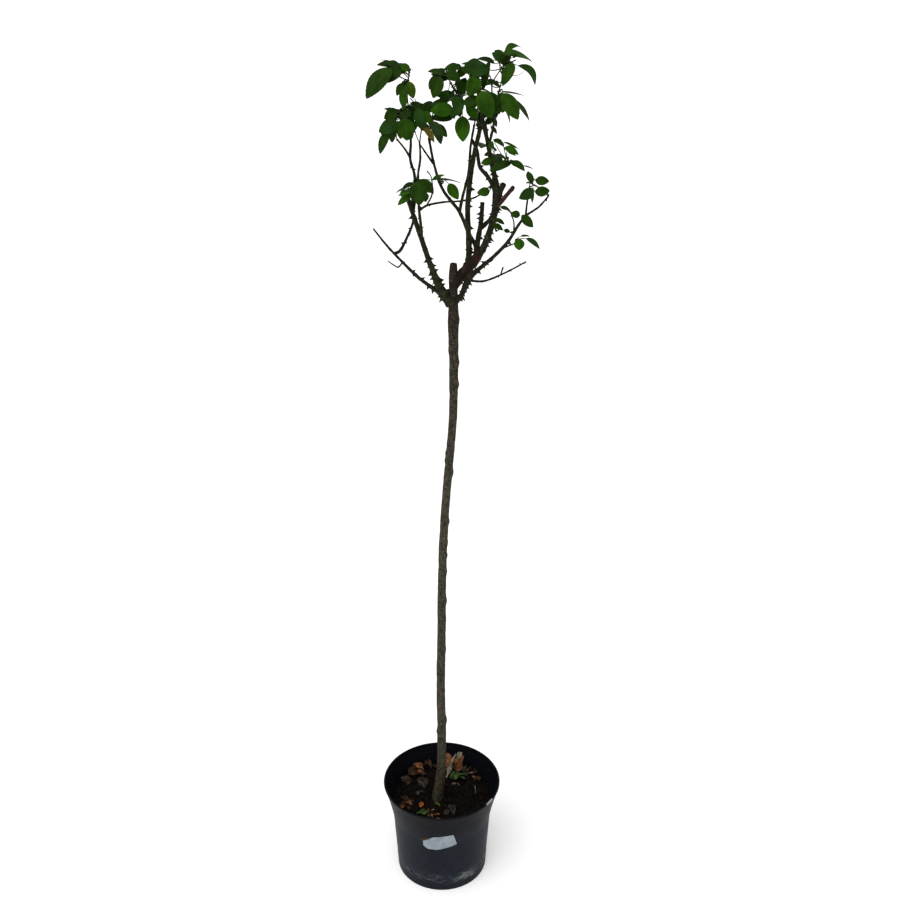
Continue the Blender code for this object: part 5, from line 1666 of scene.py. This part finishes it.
def make_compost(scatter):
    """The bed of compost that fills the pot, with crumbs, bark chips and roots on it."""
    wall = SOIL_RADIUS - 0.0001
    low = FLOOR + SOIL_EASE
    profile = [(0, low), (BASE_RADIUS - WALL - 0.0012, low),
               (FOOT_RADIUS - WALL - SOIL_EASE, FOOT_HEIGHT),
               (BODY_TOP_RADIUS - WALL - SOIL_EASE, COLLAR_FOOT)]
    profile += [(wall * (1 - ring / BED_RINGS), SOIL_LEVEL) for ring in range(BED_RINGS + 1)]
    points, faces = turned(profile, BED_SIDES)
    crowding = []
    for point in points:
        on_top = point.z > (COLLAR_FOOT + SOIL_LEVEL) / 2
        if on_top:
            point.z = soil_height(point.x, point.y)
        crowding.append(1.0 if on_top and point.xy.length < wall - 0.003 else 0.0)
    shape = Shape()
    shape.add(points, faces[BED_SIDES:] + faces[:BED_SIDES], crowding=crowding,
              along=[(1.0, 0.0, 0.0)] * len(points), stature=[1.0] * len(points))
    finish = compost_finish()
    bed = fitted(shape.made("compost_bed", finish), "compost", "soil")
    crumbs = scattered("compost_crumbs", bed, scatter, crumb_shape(3), finish,
                       spacing=0.0027, smallest=0.0010, largest=0.0068, seed=5)
    fitted(crumbs, "compost", "soil")
    wood = litter_finish("bark_chips", rgb(40, 27, 18), rgb(18, 12, 9))
    chips = scattered("bark_chips", bed, scatter, crumb_shape(7, (1, 0.34, 0.24)), wood,
                      spacing=0.0085, smallest=0.0030, largest=0.0120, seed=11)
    fitted(chips, "compost", "soil")
    straw = litter_finish("root_fibres", rgb(56, 40, 28), rgb(26, 18, 13))
    fibres = scattered("root_fibres", bed, scatter, crumb_shape(5, (1, 0.05, 0.05)), straw,
                       spacing=0.0150, smallest=0.0100, largest=0.0260, seed=23)
    fitted(fibres, "compost", "soil")


# The light and dark hue of each kind of litter.
LITTER_HUES = {
    "dead_leaf": (rgb(124, 84, 54), rgb(76, 46, 28)),
    "brown_litter": (rgb(62, 42, 28), rgb(26, 18, 13)),
    "pale_litter": (rgb(132, 122, 108), rgb(84, 74, 64)),
    "fallen_green": (rgb(60, 82, 38), rgb(28, 42, 18)),
    "grey_litter": (rgb(62, 54, 44), rgb(26, 22, 18)),
    "orange_litter": (rgb(176, 104, 40), rgb(116, 62, 24)),
}

# What lies on the compost: kind, x and y in mm, lift in mm, azimuth and pitch in degrees, length
# and width in mm, and how far its tip curls down.
LITTER = [
    ("dead_leaf", 14, 62, 0, 100, 60, 34, 26, -0.10),
    ("dead_leaf", 26, 64, 0, 45, 56, 32, 26, 0.10),
    ("pale_litter", 10, 50, 1, 48, 52, 44, 8, -0.10),
    ("pale_litter", 30, 74, 22, 60, 44, 16, 10, 0.20),
    ("pale_litter", 8, 44, 1, 60, 30, 16, 5, 0.10),
    ("fallen_green", 14, 42, 3, 12, 10, 32, 18, 0.10),
    ("fallen_green", 20, 40, 4, -4, 16, 24, 12, 0.25),
    ("fallen_green", -46, -38, 2, 4, 8, 26, 12, 0.10),
    ("fallen_green", -13, -15, 2, -30, 14, 12, 8, 0.25),
    ("fallen_green", -10, -20, 1, 40, 10, 9, 6, 0.20),
    ("grey_litter", -32, 20, 1, 108, 16, 30, 20, 0.15),
    ("grey_litter", 16, -14, 1, -76, 14, 28, 12, 0.25),
    ("grey_litter", 12, -26, 1, -110, 10, 20, 10, 0.20),
    ("grey_litter", -58, 34, 2, 150, 18, 28, 14, 0.20),
    ("brown_litter", -36, 64, 3, 165, 12, 34, 18, 0.20),
    ("brown_litter", -28, 54, 2, 190, 16, 36, 16, 0.15),
    ("dead_leaf", -34, 60, 6, 150, 24, 26, 12, 0.25),
    ("brown_litter", -44, 78, 2, 60, 14, 26, 14, 0.25),
    ("brown_litter", -20, 66, 3, 120, 20, 28, 12, 0.25),
    ("brown_litter", -80, -16, 1, 10, 10, 32, 14, 0.15),
    ("brown_litter", -70, -20, 2, 40, 18, 28, 12, 0.25),
    ("brown_litter", -72, 8, 1, -70, 14, 26, 12, 0.15),
    ("dead_leaf", -66, -6, 3, -50, 24, 18, 9, 0.30),
    ("dead_leaf", -76, -22, 3, 15, 14, 16, 8, 0.30),
    ("orange_litter", -38, -24, 2, 80, 14, 14, 8, 0.15),
    ("dead_leaf", -22, -42, 1, 5, 8, 14, 5, 0.20),
    ("brown_litter", -16, -36, 2, 150, 18, 12, 5, 0.15),
    ("dead_leaf", -26, -34, 2, 60, 20, 8, 4, 0.15),
    ("pale_litter", -18, -32, 2, 20, 16, 5, 3, 0.10),
    ("dead_leaf", -10, -40, 2, -30, 20, 8, 4, 0.10),
    ("pale_litter", -24, -44, 2, 70, 10, 5, 3, 0.10),
    ("dead_leaf", -20, -54, 3, -8, 4, 26, 5, 0.05),
    ("pale_litter", 16, 30, 1, 10, 12, 15, 2.5, 0.20),
    ("pale_litter", 20, 26, 2, 35, 8, 12, 2, 0.10),
    ("pale_litter", 26, 33, 1, -40, 10, 9, 2, 0.10),
    ("pale_litter", 0, 30, 1, 80, 20, 8, 4, 0.10),
    ("brown_litter", 40, 58, 2, 30, 14, 30, 12, 0.20),
    ("brown_litter", 50, 72, 2, -30, 18, 28, 12, 0.25),
    ("brown_litter", 62, 56, 2, 80, 16, 24, 10, 0.25),
    ("brown_litter", 58, 40, 1, 20, 12, 22, 9, 0.20),
    ("grey_litter", 48, 48, 2, 130, 20, 24, 8, 0.20),
    ("brown_litter", 34, 70, 3, 60, 30, 26, 8, 0.20),
    ("dead_leaf", 46, 66, 2, 150, 16, 16, 6, 0.30),
    ("dead_leaf", 56, 50, 2, -60, 18, 14, 5, 0.30),
    ("pale_litter", 40, 60, 3, 70, 24, 18, 2, 0.30),
    ("pale_litter", 50, 58, 3, 120, 24, 16, 1.6, 0.30),
    ("pale_litter", 44, 52, 2, 20, 16, 20, 1.6, 0.30),
    ("pale_litter", 62, 10, 2, 95, 34, 14, 1.4, 0.10),
    ("brown_litter", -52, 66, 4, 20, 26, 24, 10, 0.30),
    ("brown_litter", -60, 50, 3, 80, 22, 24, 10, 0.30),
    ("brown_litter", -24, 76, 3, -20, 18, 22, 9, 0.30),
    ("dead_leaf", -50, 58, 5, -30, 26, 18, 8, 0.30),
    ("brown_litter", -66, 30, 2, 60, 16, 20, 9, 0.25),
    ("grey_litter", -48, 8, 2, 20, 16, 18, 8, 0.25),
    ("brown_litter", -8, 70, 3, 60, 18, 20, 8, 0.30),
    ("brown_litter", -56, -30, 2, 130, 18, 16, 7, 0.30),
    ("orange_litter", -6, -52, 1, 15, 10, 5, 2.5, 0.10),
    ("dead_leaf", -16, -48, 2, 110, 20, 9, 3.5, 0.20),
    ("brown_litter", -28, -50, 1, 30, 10, 12, 4, 0.20),
]
LITTER_REACH = SOIL_RADIUS - 0.0035


def make_litter():
    """Fallen leaves and strips on the compost, each laid on its surface."""
    shapes = {name: Shape() for name in LITTER_HUES}
    for index, (kind, x, y, lift, azimuth, pitch, length, width, curl) in enumerate(LITTER):
        chance = random.Random(500 + index)
        x, y = x * MM, y * MM
        root = Vector((x, y, soil_height(x, y) + lift * MM))
        azimuth, pitch = math.radians(azimuth), math.radians(pitch)
        flat = Vector((math.cos(azimuth), math.sin(azimuth), 0))
        heading = flat * math.cos(pitch) + UP * math.sin(pitch)
        normal = squared(UP if pitch < 1.0 else Vector((0, -1, 0)), heading)
        form = (math.radians(chance.uniform(6, 44)), 0.07, curl, chance.uniform(-1.0, 1.0), 0.10)
        points, faces, marks, creases = blade(root, heading, normal, length * MM,
                                              width * MM / 2, form, chance)
        for point in points:
            reach = math.hypot(point.x, point.y)
            if reach > LITTER_REACH:
                point.xy *= (LITTER_REACH + 0.1 * (point.z - SOIL_LEVEL)) / reach
        shapes[kind].add(points, faces, creases, blade=marks)
    for name, shape in shapes.items():
        fitted(shape.made(name, litter_finish(name, *LITTER_HUES[name])), "leaf", "soil")


# The sticker's outline on the pot's front: x and height in mm.
STICKER = [(-33, 117), (-24, 124.5), (-14, 131.5), (3, 134.5), (21, 137), (24, 124.5),
           (27, 110.6), (10, 105), (-8.5, 100), (-24.5, 100), (-32.4, 105.7)]
NUB = [(-37.5, 120), (-36, 124.5), (-30, 127), (-24, 129), (-19, 128.5), (-21, 125), (-27, 121),
       (-33, 117.5)]


STICKER_LIFT = 0.0002
STICKER_THICKNESS = 0.0004
EDGE_STEPS = 6
RING_STEPS = 8


def stuck_on(outline, lift, thickness):
    """The rings of a thin closed patch on the pot's front, with ragged edges: outline in mm."""
    centre = Vector((sum(x for x, _ in outline), sum(z for _, z in outline))) / len(outline)
    edge = []
    for (x, z), (next_x, next_z) in zip(outline, outline[1:] + outline[:1]):
        for step in range(EDGE_STEPS):
            share = step / EDGE_STEPS
            ragged = 0.35 * noise.noise(Vector((x + next_x * share, z + share * 7, 0.5)))
            edge.append((x + (next_x - x) * share + ragged, z + (next_z - z) * share + ragged))
    shares = [step / RING_STEPS for step in range(1, RING_STEPS + 1)]
    layers = [(lift, share) for share in shares]
    layers += [(lift + thickness, share) for share in reversed(shares)]
    points = []
    for out, share in layers:
        for x, z in edge:
            x_here = (centre.x + (x - centre.x) * share) * MM
            z_here = (centre.y + (z - centre.y) * share) * MM
            curl = 0.0004 * max(0.0, noise.noise(Vector((x_here * 60, z_here * 60, 1)))) * share
            radius = pot_radius(z_here) + out + curl
            points.append((x_here, -math.sqrt(radius ** 2 - x_here ** 2), z_here))
    return points, tube_faces(len(layers), len(edge))


def make_sticker():
    """The blank sticker and the torn nub of paper at its corner."""
    torn_paper = litter_finish("torn_paper", rgb(70, 60, 48), rgb(30, 22, 16))
    for name, outline, finish in (("sticker", STICKER, paper_finish()),
                                  ("torn_nub", NUB, torn_paper)):
        shape = Shape()
        shape.add(*stuck_on(outline, STICKER_LIFT, STICKER_THICKNESS))
        item = shape.made(name, finish)
        item.data.set_sharp_from_angle(angle=math.radians(60))
        recalculate(item)
        fitted(item, "pot_plastic", "pot")


def recalculate(item):
    """Turns a closed piece's faces outwards."""
    solid = bmesh.new()
    solid.from_mesh(item.data)
    bmesh.ops.recalc_face_normals(solid, faces=solid.faces)
    solid.to_mesh(item.data)
    solid.free()


# ---------------------------------------------------------------- studio
FLOOR_RADIUS = 120
FLOOR_TOP = -0.0004
FLOOR_UNDERSIDE = -0.02
SKY_STRENGTH = 0.66
DAYLIGHT_STRENGTH = 1.7
DAYLIGHT_SPREAD = math.radians(60)
DAYLIGHT_TURN = (math.radians(28), math.radians(-18), 0)

# The camera: its place, how far it looks down, and its focal length in pixels of an image so
# many pixels wide.
CAMERA_PLACE = (0.015, -1.6, 1.527)
CAMERA_DIP = math.radians(23.40)
FOCAL_PIXELS = 1102.6
IMAGE_PIXELS = 900
SENSOR_MM = 36


def make_studio():
    """A plain pale floor under a soft even light."""
    floor = Shape()
    profile = [(0, FLOOR_UNDERSIDE), (FLOOR_RADIUS, FLOOR_UNDERSIDE), (FLOOR_RADIUS, FLOOR_TOP),
               (0, FLOOR_TOP)]
    floor.add(*turned(profile, 64))
    item = floor.made("studio_floor", floor_finish())
    item.data.shade_flat()
    world = bpy.data.worlds.new("studio_sky")
    bpy.context.scene.world = world
    world.use_nodes = True
    sky = world.node_tree.nodes["Background"]
    sky.inputs["Color"].default_value = (1.0, 1.0, 1.0, 1.0)
    sky.inputs["Strength"].default_value = SKY_STRENGTH
    glow = bpy.data.lights.new("soft_daylight", "SUN")
    glow.energy = DAYLIGHT_STRENGTH
    glow.angle = DAYLIGHT_SPREAD
    linked("soft_daylight", glow).rotation_euler = DAYLIGHT_TURN
    bpy.context.scene.view_settings.view_transform = "Standard"


def make_camera():
    camera = bpy.data.cameras.new("camera")
    camera.sensor_width = SENSOR_MM
    camera.lens = SENSOR_MM * FOCAL_PIXELS / IMAGE_PIXELS
    camera.clip_end = 400
    item = linked("camera", camera)
    item.location = CAMERA_PLACE
    item.rotation_euler = (math.radians(90) - CAMERA_DIP, 0, 0)
    bpy.context.scene.camera = item


def main():
    """The studio, then each piece of the plant, its pot and what lies in it."""
    make_camera()
    make_studio()
    scatter = scatter_tree()
    make_trunk()
    canes = make_canes()
    thorn = cane_finish("prickle", rgb(34, 25, 17), rgb(38, 28, 19), rgb(62, 46, 32))
    prickles = scattered("prickles", canes, scatter, prickle_shape(), thorn,
                         spacing=0.0060, smallest=0.0026, largest=0.0074, seed=3)
    fitted(prickles, "green_bark", "left_cane", "right_cane")
    make_leaves()
    make_pot()
    make_compost(scatter)
    make_litter()
    make_sticker()


main()
